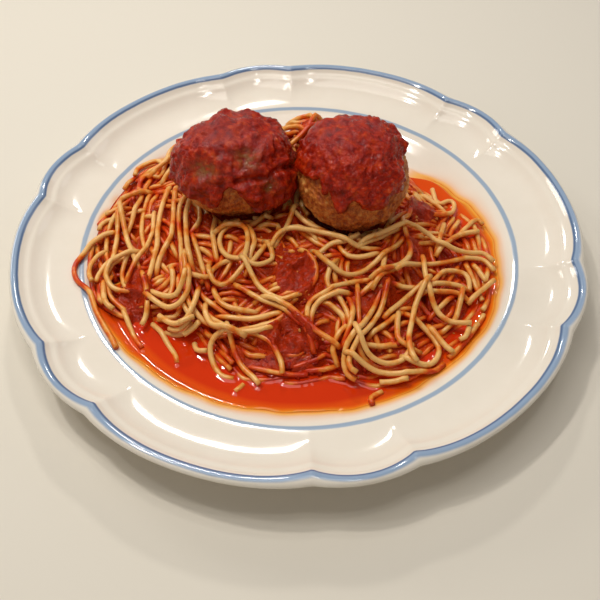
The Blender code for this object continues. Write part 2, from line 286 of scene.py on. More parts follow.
def between_stations(stations, spacing):
    """Extra stations on a smooth curve through the given ones, about a spacing apart."""
    points = [Vector(station) for station in stations]
    made = []
    for at in range(len(points) - 1):
        before, start = points[max(at - 1, 0)], points[at]
        end, after = points[at + 1], points[min(at + 2, len(points) - 1)]
        reach = (end - start).xy.length
        leaving = (end - before) * (reach / max((end - before).xy.length, 1e-6))
        arriving = (after - start) * (reach / max((after - start).xy.length, 1e-6))
        count = max(1, round(reach / spacing))
        for step in range(count):
            t = step / count
            curve = (
                (2 * t**3 - 3 * t**2 + 1) * start
                + (t**3 - 2 * t**2 + t) * leaving
                + (3 * t**2 - 2 * t**3) * end
                + (t**3 - t**2) * arriving
            )
            made.append(curve)
    return made + [points[-1]]


floor_stations = [Vector(station) for station in PLATE_TOP[:FLAT_STATIONS]]
top_stations = floor_stations + between_stations(PLATE_TOP[FLAT_STATIONS:], STATION_SPACING)
under_stations = [Vector(station) for station in PLATE_UNDER]
top_radii = np.array([station.x for station in top_stations])
top_heights = np.array([station.y for station in top_stations])
print(len(top_stations), "stations on top,", len(under_stations), "underneath")


def plate_top(radius):
    """The height of the plate's face at a radius, inside the cusps."""
    return np.interp(radius, top_radii, top_heights)


def lobe_place(angle):
    """Where an angle lies in its lobe, 0 in the middle to 1 at a cusp, with the lobe's power."""
    period = 360 / PAIR_COUNT
    offset = abs((angle - PAIR_ANGLE + period / 2) % period - period / 2)
    if offset <= CUSP_ANGLE:
        return offset / CUSP_ANGLE, SHORT_LOBE_POWER
    return (period / 2 - offset) / (period / 2 - CUSP_ANGLE), LONG_LOBE_POWER


# %% [markdown]
# ## Where the pasta and the thin sauce end
#
# The plate needs to know how far the food reaches, because its oil stains the glaze a little way
# beyond, and the red pool is painted onto the glaze beside it as a faint reflection. The edge of
# each is a radius at each angle, and the shore of the thin sauce is a little wavy.

# %% The edge of the pasta
OUTLINE = [  # an angle in degrees and how far the pasta reaches there
    (2, 92),
    (14, 88),
    (22, 82),
    (32, 78),
    (60, 78),
    (90, 78),
    (110, 86),
    (124, 93),
    (140, 96),
    (157, 100),
    (175, 101),
    (189, 101.5),
    (203, 101),
    (210, 95),
    (217, 80),
    (224, 71),
    (231, 71),
    (238, 75),
    (246, 79),
    (253, 84),
    (267, 82),
    (280, 79),
    (291, 90),
    (309, 95),
    (321, 95.5),
    (334, 96),
    (348, 95),
]


def heap_reach(angle):
    """How far the pasta spreads at an angle in degrees."""
    return np.interp(angle, *zip(*OUTLINE), period=360)


# %% Shore
POOL_LEVEL = 10.0
POOL_START = 198.0  # degrees, at the left of the heap
POOL_END = 408.0  # past a full turn, behind the right meatball
SHORE = [  # the same for the thin sauce
    (198, 101.5),
    (206, 100.8),
    (214, 99.4),
    (222, 98.6),
    (232, 98.0),
    (246, 95.5),
    (258, 94.6),
    (270, 94.4),
    (285, 95.0),
    (300, 96.2),
    (315, 97.2),
    (335, 97.4),
    (352, 96.4),
    (368, 94.2),
    (380, 91.8),
    (392, 89.0),
    (408, 84.0),
]


def shore_radius(angle):
    """How far out the thin sauce reaches at an angle from POOL_START to POOL_END."""
    plain = np.interp(angle, *zip(*SHORE))
    turn = np.radians(angle)
    return plain + 0.5 * np.sin(9 * turn) + 0.35 * np.sin(23 * turn + 1) + 0.2 * np.sin(41 * turn)


def pool_angle(angle):
    """An angle in degrees, turned to where the shore's table has it."""
    return (np.asarray(angle) - POOL_START) % 360 + POOL_START


# %% Turn the plate
bm = bmesh.new()
along_of = bm.verts.layers.float.new("along")
share_of = bm.verts.layers.float.new("share")
section = []
along = 0.0
along_by_radius = {}
stations = top_stations + under_stations
for at, station in enumerate(stations):
    if at:
        along += (station - stations[at - 1]).xy.length
    vert = bm.verts.new((station.x, 0, station.y))
    vert[along_of] = along
    vert[share_of] = max(0, min(1, station.z))
    section.append(vert)
    if at < len(top_stations):
        along_by_radius[station.x] = along
edges = [bm.edges.new(pair) for pair in zip(section, section[1:])]
bmesh.ops.spin(
    bm,
    geom=section + edges,
    axis=(0, 0, 1),
    angle=math.tau,
    steps=PLATE_STEPS,
    use_merge=True,
)
bmesh.ops.remove_doubles(bm, verts=bm.verts[:], dist=0.002)
for vert in bm.verts:
    share = vert[share_of]
    if share > 0:
        place, power = lobe_place(math.degrees(math.atan2(vert.co.y, vert.co.x)))
        radius = vert.co.xy.length
        vert.co.xy *= (radius - share * CUSP_DEPTH * place**power) / radius
        vert.co.z += share * CUSP_RIDGE * place**RIDGE_POWER
plate_along = [vert[along_of] for vert in bm.verts]
plate_places = np.array([vert.co for vert in bm.verts])
print("plate:", len(bm.verts), "points")


def along_at(radius):
    """How far along the section from the middle a radius on the face lies."""
    return float(np.interp(radius, list(along_by_radius), list(along_by_radius.values())))


# %% [markdown]
# ### Oil, and the pool's painted reflection, on the glaze
#
# Past the shore, the colour fades out twice: a strong line of oil under a millimetre wide, then a
# faint pinkish band some five millimetres wide, which is a painted reflection of the red pool in
# the glaze. Where pasta lies on the glaze without a pool, the oil comes in blotches. The well's
# edge stops it.

# %% Where oil stains the glaze, and where the pool's reflection is painted on it
WELL_EDGE = 99  # the radius at which the oil gives out, with 4 mm to fade
STAIN_FADE = 16  # degrees over which the stain fades at the pool's end
plate_radius = np.hypot(plate_places[:, 0], plate_places[:, 1])
plate_angle = np.degrees(np.arctan2(plate_places[:, 1], plate_places[:, 0]))
turned = pool_angle(plate_angle)
past_shore = plate_radius - shore_radius(turned)
by_pool = (turned > POOL_START + 3) & (turned < POOL_END - 1)  # a little short of its ends
on_face = plate_places[:, 2] > plate_top(plate_radius) - 0.5
past_shore = np.clip(past_shore, 0, None)
by_pool = by_pool * np.clip((POOL_END - turned) / STAIN_FADE, 0, 1)
# The strong narrow line is oil; the faint band five millimetres wide is the pool's painted
# reflection.
oil_and_reflection = (0.7 * np.exp(-past_shore / 0.9) + 0.4 * np.exp(-past_shore / 5)) * by_pool * on_face
past_pasta = plate_radius - heap_reach(plate_angle) - 1.0
beyond = np.exp(-np.clip(past_pasta, 0, None) / 1.6) * (1 - by_pool) * on_face
blotches = [noise.noise((x / 14, y / 14, 6.3)) for x, y, _ in plate_places]
oil_and_reflection = np.maximum(oil_and_reflection, 0.8 * beyond * np.clip(0.55 + 1.2 * np.array(blotches), 0, 1))
oil_and_reflection *= 1 - np.clip((plate_radius - WELL_EDGE) / 4, 0, 1)
print("glaze touched by oil:", int((oil_and_reflection > 0.1).sum()), "points")

# %% [markdown]
# ### Glaze
#
# This is a cream tin-white glaze on stoneware, fired to gloss, with lines in cobalt blue under it.
# Cobalt under a glossy glaze looks soft at its edges, paler where the brush ran dry. The lines
# follow the section, so the material reads the `along` attribute and not a picture. The glaze is
# glass, with an IOR of 1.5 and hardly any roughness, and it lies in very slight waves.

# %% Glaze material
BRUSH_WOBBLE = 0.5  # how far a painted line strays, in millimetres
glaze, tree = start_material("glossy_cream_glaze")
along_node = add_node(tree, "ShaderNodeAttribute", {"attribute_name": "along"})
oil_and_reflection_node = add_node(tree, "ShaderNodeAttribute", {"attribute_name": "oil_and_reflection"})
place_node = add_node(tree, "ShaderNodeTexCoord")
brush = add_node(
    tree,
    "ShaderNodeTexNoise",
    inputs={"Vector": place_node.outputs["Object"], "Scale": 90, "Detail": 3},
)
wobble = add_node(
    tree,
    "ShaderNodeMath",
    {"operation": "MULTIPLY_ADD"},
    {0: brush.outputs["Fac"], 1: BRUSH_WOBBLE, 2: along_node.outputs["Fac"]},
)


def blue_line(middle, half_width, soft):
    """1 on a painted line round the plate and 0 off it, with soft edges, in millimetres."""
    away = add_node(
        tree,
        "ShaderNodeMath",
        {"operation": "SUBTRACT"},
        {0: wobble.outputs[0], 1: middle + BRUSH_WOBBLE / 2},
    )
    size = add_node(tree, "ShaderNodeMath", {"operation": "ABSOLUTE"}, {0: away.outputs[0]})
    return add_node(
        tree,
        "ShaderNodeMapRange",
        {"interpolation_type": "SMOOTHSTEP"},
        {
            "Value": size.outputs[0],
            "From Min": half_width - soft,
            "From Max": half_width + soft,
            "To Min": 1.0,
            "To Max": 0.0,
        },
    ).outputs["Result"]


# One line round the well and one on the crest, which has a darker core
inner_line = blue_line(along_at(104.1), 1.15, 0.45)
crest_line = blue_line(along_at(132.2), 1.7, 0.5)
crest_core = blue_line(along_at(131.2), 0.55, 0.4)
cream = add_node(
    tree,
    "ShaderNodeMix",
    {"data_type": "RGBA"},
    {"Factor": brush.outputs["Fac"], 6: linear("#EDE5D7"), 7: linear("#F3ECE0")},
)
with_inner = add_node(
    tree,
    "ShaderNodeMix",
    {"data_type": "RGBA"},
    {"Factor": inner_line, 6: cream.outputs[2], 7: linear("#9DB1C8")},
)
with_crest = add_node(
    tree,
    "ShaderNodeMix",
    {"data_type": "RGBA"},
    {"Factor": crest_line, 6: with_inner.outputs[2], 7: linear("#93A9C6")},
)
with_lines = add_node(
    tree,
    "ShaderNodeMix",
    {"data_type": "RGBA"},
    {"Factor": crest_core, 6: with_crest.outputs[2], 7: linear("#5F789E")},
)
# Oil's orange, with the pool's painted pinkish reflection at the faint end.
oil_and_reflection_colour = add_node(
    tree,
    "ShaderNodeValToRGB",
    inputs={"Fac": oil_and_reflection_node.outputs["Fac"]},
    stops=[
        (0.0, linear("#F3ECE0")),
        (0.22, linear("#F0C6A4")),
        (0.5, linear("#F4B964")),
        (1.0, linear("#E6801C")),
    ],
)
tinted = add_node(
    tree,
    "ShaderNodeMath",
    {"operation": "MULTIPLY", "use_clamp": True},
    {0: oil_and_reflection_node.outputs["Fac"], 1: 3.0},
)
glaze_colour = add_node(
    tree,
    "ShaderNodeMix",
    {"data_type": "RGBA"},
    {"Factor": tinted.outputs[0], 6: with_lines.outputs[2], 7: oil_and_reflection_colour.outputs["Color"]},
)
ripple = add_node(
    tree,
    "ShaderNodeTexNoise",
    inputs={"Vector": place_node.outputs["Object"], "Scale": 60, "Detail": 1},
)
waves = add_node(
    tree,
    "ShaderNodeBump",
    inputs={"Height": ripple.outputs["Fac"], "Strength": 0.25, "Distance": 0.0006},
)
finish_material(
    tree,
    add_node(
        tree,
        "ShaderNodeBsdfPrincipled",
        inputs={
            "Base Color": glaze_colour.outputs[2],
            "Roughness": 0.09,
            "IOR": 1.5,
            "Normal": waves.outputs["Normal"],
        },
    ),
)
finish_piece("plate_body", bm, glaze, "glaze", "plate", attributes={"oil_and_reflection": oil_and_reflection})

# %% [markdown]
# ## Fields over the dish
#
# Cooked spaghetti is laid strand by strand, and each strand lies on whatever is under it. A field
# keeps the height of everything so far, as a grid of half-millimetre cells seen from above. Laying
# a strand reads the field and then raises it. This is far quicker than a physics simulation of
# over ten metres of pasta, and it gives the same heap at each run.

# %% A grid seen from above
CELL = 0.5
FIELD_HALF = 114.0
CELLS = int(2 * FIELD_HALF / CELL) + 1
field_line = np.linspace(-FIELD_HALF, FIELD_HALF, CELLS)
field_x, field_y = np.meshgrid(field_line, field_line)
field_radius = np.hypot(field_x, field_y)
field_angle = np.degrees(np.arctan2(field_y, field_x))


def read(field, x, y):
    """A field's value at places in plan, blended from the four nearest cells."""
    across = np.clip((np.asarray(x, float) + FIELD_HALF) / CELL, 0, CELLS - 1.001)
    up = np.clip((np.asarray(y, float) + FIELD_HALF) / CELL, 0, CELLS - 1.001)
    col, row = across.astype(int), up.astype(int)
    u, v = across - col, up - row
    near = field[row, col] * (1 - u) + field[row, col + 1] * u
    far = field[row + 1, col] * (1 - u) + field[row + 1, col + 1] * u
    return near * (1 - v) + far * v


def noise_field(size, seed, spacing=2.0):
    """Smooth noise over the dish, from about -1 to 1, with lumps of a size in millimetres."""
    coarse = np.arange(-FIELD_HALF, FIELD_HALF + spacing, spacing)
    rows = [[noise.noise((x / size, y / size, seed)) for x in coarse] for y in coarse]
    wide = np.array([np.interp(field_line, coarse, row) for row in rows])
    return np.array([np.interp(field_line, coarse, column) for column in wide.T]).T


def blurred(field, spread):
    """A field with its detail smoothed away over a spread in millimetres."""
    reach = int(3 * spread / CELL)
    weights = np.exp(-0.5 * (np.arange(-reach, reach + 1) * CELL / spread) ** 2)
    weights /= weights.sum()
    wide = np.pad(field, reach, mode="edge")
    across = sum(w * wide[:, at : at + CELLS] for at, w in enumerate(weights))
    return sum(w * across[at : at + CELLS, :] for at, w in enumerate(weights))


def smooth_step(value, low, high):
    share = np.clip((value - low) / (high - low), 0, 1)
    return share * share * (3 - 2 * share)


# %% [markdown]
# ## The heap's form
#
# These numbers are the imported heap's own: a low mound, highest behind the middle, with the pasta
# banked up behind the meatballs.

# %% The heap's form
HEAP_EDGE = 4.0
HEAP_RISE = 22.0
HEAP_TOP = (-4, 8)
HEAP_FALL = 2.4  # a higher power keeps the mound flat for longer, before it falls to its edge
UNEVEN = 2.2
UNEVEN_SIZE = 16
BANKS = [  # place, spread and rise
    ((-55, 57), 13, 11),
    ((-32, 55), 13, 8),
    ((1, 45), 12, 17),
    ((19, 50), 10, 7),
]
reach_field = heap_reach(field_angle)
away = field_radius / reach_field
slope = 0.55 * away + 0.45 * np.hypot(field_x - HEAP_TOP[0], field_y - HEAP_TOP[1]) / 90
mound = HEAP_EDGE + (HEAP_RISE - HEAP_EDGE) * (1 - np.minimum(1, slope) ** HEAP_FALL)
mound += UNEVEN * noise_field(UNEVEN_SIZE, 0)
for (x, y), spread, rise in BANKS:
    mound += rise * np.exp(-(np.hypot(field_x - x, field_y - y) ** 2) / spread**2)
plate_field = plate_top(field_radius)
heap_form = plate_field + np.where(away < 1, np.maximum(mound, HEAP_EDGE), 0)
in_heap = away < 1
print("heap, mm high:", round(float(heap_form[in_heap].max()), 1))

# %% [markdown]
# ## Meatballs
#
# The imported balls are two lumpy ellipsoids. The same lumps are used here, so the finer ball fits
# its solid, and crumbs of browned mince are added on top.

# %% The meatballs' form
BALL_LUMP = 1.4
BALL_LUMP_SIZE = 15
NO_BALL = 99.0  # above the whole dish
BALLS = {  # middle, half sizes, and where its lumps fall
    "left": (Vector((-30, 20.5, 43)), Vector((27.4, 23, 22.6)), 3.0),
    "right": (Vector((25.4, 14, 42.5)), Vector((25.6, 25.5, 24.6)), 9.0),
}


def ball_surface(name, direction):
    """A point of a meatball's lumpy form in a direction from its middle."""
    middle, half, seed = BALLS[name]
    on_ball = Vector((direction.x * half.x, direction.y * half.y, direction.z * half.z))
    lump = BALL_LUMP * noise.noise(on_ball / BALL_LUMP_SIZE + Vector((seed, seed, seed)))
    return middle + on_ball + direction * lump


under_balls = np.full_like(heap_form, NO_BALL)
for middle, half, _ in BALLS.values():
    across = np.hypot((field_x - middle.x) / half.x, (field_y - middle.y) / half.y)
    hang = middle.z - half.z * np.sqrt(np.clip(1 - across**2, 0, 1))
    under_balls = np.where(across < 1, np.minimum(under_balls, hang), under_balls)
print("lowest point of the meatballs, mm:", round(float(under_balls.min()), 1))

# %% [markdown]
# ## Laying strands
#
# A strand of cooked spaghetti is 2.5 mm thick and limp, but not as limp as thread: it sags between
# what holds it up and never bends sharply. `rest_heights` finds the height at which a round strand
# first touches something, `settle` eases that into a curve, and `press_in` raises the field.

# %% How a strand comes to rest
STRAND_RADIUS = 1.25
SAG = 0.05  # millimetres that it sinks in each round
SETTLE_ROUNDS = 22
SAUCE_COVER = 1.2  # room kept round the meatballs for their sauce
foot_cells = int(STRAND_RADIUS / CELL)
FOOT = [
    (row, col, math.sqrt(STRAND_RADIUS**2 - (row * row + col * col) * CELL * CELL))
    for row in range(-foot_cells, foot_cells + 1)
    for col in range(-foot_cells, foot_cells + 1)
    if (row * row + col * col) * CELL * CELL < STRAND_RADIUS**2
]


def cells_at(path):
    at = np.rint((path + FIELD_HALF) / CELL).astype(int)
    return np.clip(at[:, 1], 3, CELLS - 4), np.clip(at[:, 0], 3, CELLS - 4)


def rest_heights(path, surface):
    """The height at which a strand's middle rests at each point of a path in plan."""
    rows, cols = cells_at(path)
    return np.max([surface[rows + r, cols + c] + rise for r, c, rise in FOOT], axis=0)


def settle(held):
    """Eases the heights into a curve that sags a little and never sinks into what holds it up."""
    height = held.copy()
    for _ in range(SETTLE_ROUNDS):
        ends = np.pad(height, 3, mode="edge")
        eased = sum(ends[at : at + len(height)] for at in range(7)) / 7
        height = np.maximum(held, eased - SAG)
    return height


def press_in(path, height, surface):
    rows, cols = cells_at(path)
    for r, c, rise in FOOT:
        np.maximum.at(surface, (rows + r, cols + c), height + rise)


def clear_of_balls(points):
    """Which points of a strand stay outside the meatballs and the sauce on them."""
    clear = np.ones(len(points), bool)
    for middle, half, _ in BALLS.values():
        grown = np.array(half) + STRAND_RADIUS + SAUCE_COVER
        clear &= np.linalg.norm((points - np.array(middle)) / grown, axis=1) > 1
    return clear


def runs_of(keep, least):
    """The unbroken runs of kept points, as slices."""
    edges = np.flatnonzero(np.diff(np.concatenate([[False], keep, [False]]).astype(int)))
    return [slice(a, b) for a, b in zip(edges[::2], edges[1::2]) if b - a >= least]


def inside_heap(path, margin=1.2):
    angle = np.degrees(np.arctan2(path[:, 1], path[:, 0]))
    return np.hypot(path[:, 0], path[:, 1]) < heap_reach(angle) - margin


def carried_on(path, steps):
    """More of a path past its last point, turning as it last turned."""
    along = np.diff(path[-7:], axis=0)
    headings = np.unwrap(np.arctan2(along[:, 1], along[:, 0]))
    turn = np.clip((headings[-1] - headings[0]) / max(len(headings) - 1, 1), -0.07, 0.07)
    headings = headings[-1] + turn * np.arange(1, steps + 1)
    return path[-1] + np.cumsum(np.column_stack([np.cos(headings), np.sin(headings)]), axis=0)


laid = []  # every strand as an array of points
DIVE_LENGTH = 7  # how far before its end a strand starts to go down
DIVE_DEPTH = 2.8


def lay(path, surface, least=14, longer=0):
    """Lays a strand along a path in plan, one point a millimetre, and keeps what is clear.

    Its ends go down between other strands, unless they lie at the heap's edge.
    """
    sinks = []
    for _ in range(2):
        path = path[::-1]
        if longer:
            more = carried_on(path, longer)
            path = np.vstack([path, more]) if inside_heap(more, 4).all() else path
        sinks.append(bool(inside_heap(path[-1:], 5)[0]))
    height = settle(rest_heights(path, surface))
    fall = np.clip(1 - np.arange(len(path)) / DIVE_LENGTH, 0, 1) ** 2 * DIVE_DEPTH
    height -= fall * sinks[0] + fall[::-1] * sinks[1]
    height = np.maximum(height, plate_top(np.hypot(path[:, 0], path[:, 1])) + STRAND_RADIUS)
    points = np.column_stack([path, height])
    for run in runs_of(clear_of_balls(points), least):
        press_in(path[run], height[run], surface)
        laid.append(points[run])


# %% [markdown]
# ## Ways across the heap
#
# Most strands below the top are hidden, so they may wander as they like: round the heap, curling
# this way and that, and turning back at its edge. They fall in bundles, because spaghetti is lifted
# from the pot in bundles. Where the heap is still lowest, the next bundle goes.

# %% Paths in plan
TURN_BACK = 0.86  # share of the way out at which a strand starts to turn back
KEEP_IN = 1.4  # how far a strand's middle stays inside the heap's outline
draw = random.Random(11)


def wander(place, heading, length):
    """A path in plan that curls gently, one point a millimetre, and turns back at the edge."""
    curl = draw.choice((-1, 1)) / draw.uniform(16, 60)
    swing = draw.uniform(0.0, 0.03)
    wave = draw.uniform(25, 70)
    start = draw.uniform(0, math.tau)
    points = []
    for step in range(length):
        points.append(place)
        angle = math.degrees(math.atan2(place[1], place[0]))
        out = math.hypot(*place) / (float(heap_reach(angle)) - 2.0)
        heading += curl + swing * math.sin(step / wave * math.tau + start)
        if out > TURN_BACK:
            inwards = math.atan2(-place[1], -place[0])
            turn = (inwards - heading + math.pi) % math.tau - math.pi
            heading += math.copysign(min(abs(turn), (out - TURN_BACK) * 1.6), turn)
        place = (place[0] + math.cos(heading), place[1] + math.sin(heading))
        furthest = float(heap_reach(angle)) - KEEP_IN
        if math.hypot(*place) > furthest:
            place = tuple(c * furthest / math.hypot(*place) for c in place)
    return np.array(points)


def beside(path, offset):
    """The path of a strand that lies beside another."""
    along = np.gradient(path, axis=0)
    along /= np.linalg.norm(along, axis=1)[:, None]
    drift = offset * (1 + 0.25 * np.sin(np.arange(len(path)) / draw.uniform(14, 30)))
    return path + drift[:, None] * np.column_stack([-along[:, 1], along[:, 0]])


def through(points):
    """A smooth path in plan through a few points, one point a millimetre."""
    knots = np.array([points[0], *points, points[-1]], float)
    path = []
    for p0, p1, p2, p3 in zip(knots, knots[1:], knots[2:], knots[3:]):
        t = np.linspace(0, 1, 24, endpoint=False)[:, None]
        path.append(
            0.5 * (2 * p1 + (p2 - p0) * t + (2 * p0 - 5 * p1 + 4 * p2 - p3) * t**2)
            + 0.5 * (3 * p1 - 3 * p2 + p3 - p0) * t**3
        )
    path = np.vstack([*path, knots[-1:]])
    along = np.concatenate([[0], np.cumsum(np.linalg.norm(np.diff(path, axis=0), axis=1))])
    even = np.arange(0, along[-1], 1.0)
    return np.column_stack([np.interp(even, along, path[:, 0]), np.interp(even, along, path[:, 1])])


# %% [markdown]
# ## Hidden strands
#
# The middle of the heap can't be seen, so the field starts there at the height of a core, and the
# strands lie in a layer over it. The heap has to come out as it was packed, so the layer has a
# ceiling: the heap's form, less some room for the strands that are laid last and show. Three kinds
# of strand fill the layer: some that follow the edge, bundles that wander, and short ones in the
# gaps that are left.

# %% Core and ceiling
CORE_DEPTH = 6.5  # how far below the heap's form the core ends
AFLOAT_DEPTH = 1.5  # how deep the underside of a floating strand lies
BETWEEN_BALLS = ((1, 46), 11, 3.5)  # place, spread and rise of pasta pushed up by the meatballs
FULL_SPOTS = [(25, -13, 2.2), (44, -2, 1.6), (-30, -5, 1.4)]  # place and rise of fuller spots
CEILING_SLACK = 0.5
surface = plate_field.copy()
field_turn = pool_angle(field_angle)
by_water = (field_turn < POOL_END) & (field_radius < shore_radius(field_turn))
surface[by_water] = np.maximum(surface[by_water], POOL_LEVEL - AFLOAT_DEPTH)
(x, y), spread, rise = BETWEEN_BALLS
pushed_up = rise * np.exp(-(np.hypot(field_x - x, field_y - y) ** 2) / spread**2)
core = np.minimum(heap_form - CORE_DEPTH + pushed_up, under_balls - 4)
core = plate_field + np.clip(core - plate_field, 0, None) * smooth_step(1 - away, 0.0, 0.10)
surface = np.where(in_heap, np.maximum(surface, core), surface)

# The strands that show lie mostly on the nearer part of the heap, so they need more room there.
top_room = 0.3 + 1.1 * smooth_step(-field_y, -35, -10)
ceiling = heap_form - top_room * smooth_step(heap_form - plate_field, 5, 11) + 0.3
for x, y, more in FULL_SPOTS:
    ceiling += more * np.exp(-(((field_x - x) / 15) ** 2) - ((field_y - y) / 8) ** 2)
print("core, mm high:", round(float(core[in_heap].max()), 1))


def lay_under(path, surface):
    """Lays the parts of a strand that come to rest under the ceiling."""
    height = settle(rest_heights(path, surface)) + STRAND_RADIUS
    low_enough = height < read(ceiling, path[:, 0], path[:, 1]) + CEILING_SLACK
    for run in runs_of(low_enough, 16):
        lay(path[run], surface, least=8)


# %% Strands round the edge
for _ in range(70):
    angle = draw.uniform(0, 360)
    inset = draw.uniform(1.5, 13)
    length = draw.uniform(30, 95)
    turn = angle + draw.choice((-1, 1)) * np.degrees(np.arange(length) / float(heap_reach(angle)))
    swing = 2.5 * np.sin(np.arange(length) / draw.uniform(9, 18) + draw.uniform(0, 6))
    out = heap_reach(turn) - np.maximum(inset + swing, 1.3)
    path = np.column_stack([out * np.cos(np.radians(turn)), out * np.sin(np.radians(turn))])
    lay_under(path, surface)
print(len(laid), "strands round the edge")

# %% Bundles that wander
BESIDE = 2.7  # from the middle of a strand to the middle of the next
bundles = 0
while bundles < 520:
    choices = []
    for _ in range(7):
        angle = draw.uniform(0, math.tau)
        out = math.sqrt(draw.random()) * 0.95 * float(heap_reach(math.degrees(angle)))
        heading = angle + draw.choice((-1, 1)) * draw.uniform(0.9, 2.0)
        start = (out * math.cos(angle), out * math.sin(angle))
        path = wander(start, heading, draw.randint(70, 190))
        room = read(ceiling - surface, path[:, 0], path[:, 1])
        room = np.clip(room, -0.5, 4) - 6 * (read(under_balls, path[:, 0], path[:, 1]) < 30)
        choices.append((float(room.mean()), path))
    room, path = max(choices, key=lambda choice: choice[0])
    if room < 0.25:  # the heap is full
        break
    for member in range(draw.choice((1, 2, 2, 3, 4))):
        follower = beside(path, BESIDE * member)
        follower = follower[: len(follower) - draw.randint(0, 25)]
        for run in runs_of(inside_heap(follower), 20):
            lay_under(follower[run], surface)
    bundles += 1
print(bundles, "bundles tried,", len(laid), "strands so far")

# %% Short strands in the gaps
OPEN_SKY = 90  # higher than this, no meatball is overhead
for _ in range(500):
    choices = []
    for _ in range(10):
        angle = draw.uniform(0, 360)
        out = math.sqrt(draw.random()) * (float(heap_reach(angle)) - 7)
        x, y = out * math.cos(math.radians(angle)), out * math.sin(math.radians(angle))
        free = float(read(under_balls, x, y)) > OPEN_SKY
        room = float(read(ceiling - surface, x, y)) if free else 0
        choices.append((room, x, y))
    room, x, y = max(choices)
    if room < 0.8:
        continue
    length = draw.randint(26, 60)
    heading = draw.uniform(0, math.tau)
    start = (x - math.cos(heading) * length / 2, y - math.sin(heading) * length / 2)
    if math.hypot(*start) < float(heap_reach(math.degrees(math.atan2(start[1], start[0])))) - 3:
        lay_under(wander(start, heading, length), surface)

hidden = len(laid)
print(hidden, "hidden strands,", round(sum(map(len, laid)) / 1000, 1), "m of pasta")
left = (heap_form - surface)[in_heap & (under_balls > OPEN_SKY)]
print("room left under the heap's form, mm:", round(float(left.mean()), 2))

# %% [markdown]
# ## Strands that show
#
# The strands on top give the heap its character: long bundles that sweep down its left side, loops
# in the middle, fans at the right, and a few that float in the thin sauce. Each is a few points
# that it passes through, in plan, in millimetres. They are laid in order, so that later ones lie
# over earlier ones.

# %% Strands just under the top
STRANDS_UNDER = [
    [(-85.5, 46), (-85, 52), (-80.5, 56.5), (-75.5, 57.5), (-72.5, 55)],
    [(-77.5, 40), (-79.5, 30.5), (-81.5, 21), (-82.5, 11), (-83, 6.5)],
    [(-90.5, 20.5), (-94, 18.5), (-97, 16.5)],
    [(-90.5, 12), (-94, 11), (-97, 8.5), (-97.5, 5)],
    [(-91, 10.5), (-93, 4.5), (-93, -3.5), (-91.5, -11.5), (-89, -18)],
    [(-88.5, 11.5), (-88, 1), (-88, -7), (-88, -12.5)],
    [(-83, -14), (-86.5, -17.5), (-88.5, -21)],
    [(-81.5, -16), (-82.5, -22), (-81.5, -27)],
    [(-91.5, -21), (-93, -25), (-93.5, -29.5)],
    [(-96.5, -14), (-98, -19), (-97, -25), (-94.5, -30)],
    [(-87.5, -31.5), (-86, -36), (-81.5, -40.5)],
    [(-89, -34.5), (-87, -41), (-83, -44.5)],
    [(-53, -43), (-55, -47.5), (-60, -48)],
    [(-40, 2.5), (-40.5, -5.5), (-39, -15)],
    [(-48.5, -11), (-46, -19), (-43, -28.5)],
    [(-22, -8), (-20.5, -14), (-22, -19.5), (-22.5, -23)],
    [(-16.5, -17), (-18.5, -20.5), (-20.5, -24)],
    [(-12, -2), (-9.5, -3), (-10, -8), (-9.5, -11)],
    [(-0.5, 3), (3, -1.5), (7, -4)],
    [(13.5, -30.5), (12.5, -35), (13.5, -38.5)],
    [(19.5, -18), (22, -21), (27, -22), (31, -21.5)],
    [(15, -48), (18.5, -51.5), (20, -56), (18, -61)],
    [(18.5, -45.5), (20.5, -49.5), (21.5, -53)],
    [(22.5, -45.5), (23.5, -50.5), (22.5, -56.5), (21, -61)],
    [(-23.5, -56), (-17.5, -56), (-11.5, -55), (-8, -53)],
    [(29.5, -65), (36.5, -65), (44, -63.5)],
    [(15.5, -64.5), (14.5, -68.5), (17, -74.5)],
    [(81.9, 8.1), (88.8, 15), (91.7, 12.2)],
    [(67.5, -3.5), (70, 4.5)],
    [(41, -34), (48.5, -35), (55, -33.5)],
    [(80.7, -22), (82.4, -29.4)],
    [(84.8, -20.2), (87.1, -27.1)],
    [(75.5, -53), (73, -58.5), (69.5, -60)],
    [(63.5, -42.5), (68.5, -37.5)],
    [(34, -57.5), (41, -51.5)],
    [(34, -81), (40, -81), (46, -80)],
    [(43, -55), (43, -61.5), (46, -64.5)],
    [(-41.5, -54.5), (-38.5, -58), (-33.5, -58.5)],
    [(-60, -53), (-54, -55), (-49.5, -54), (-47.5, -50.5)],
]

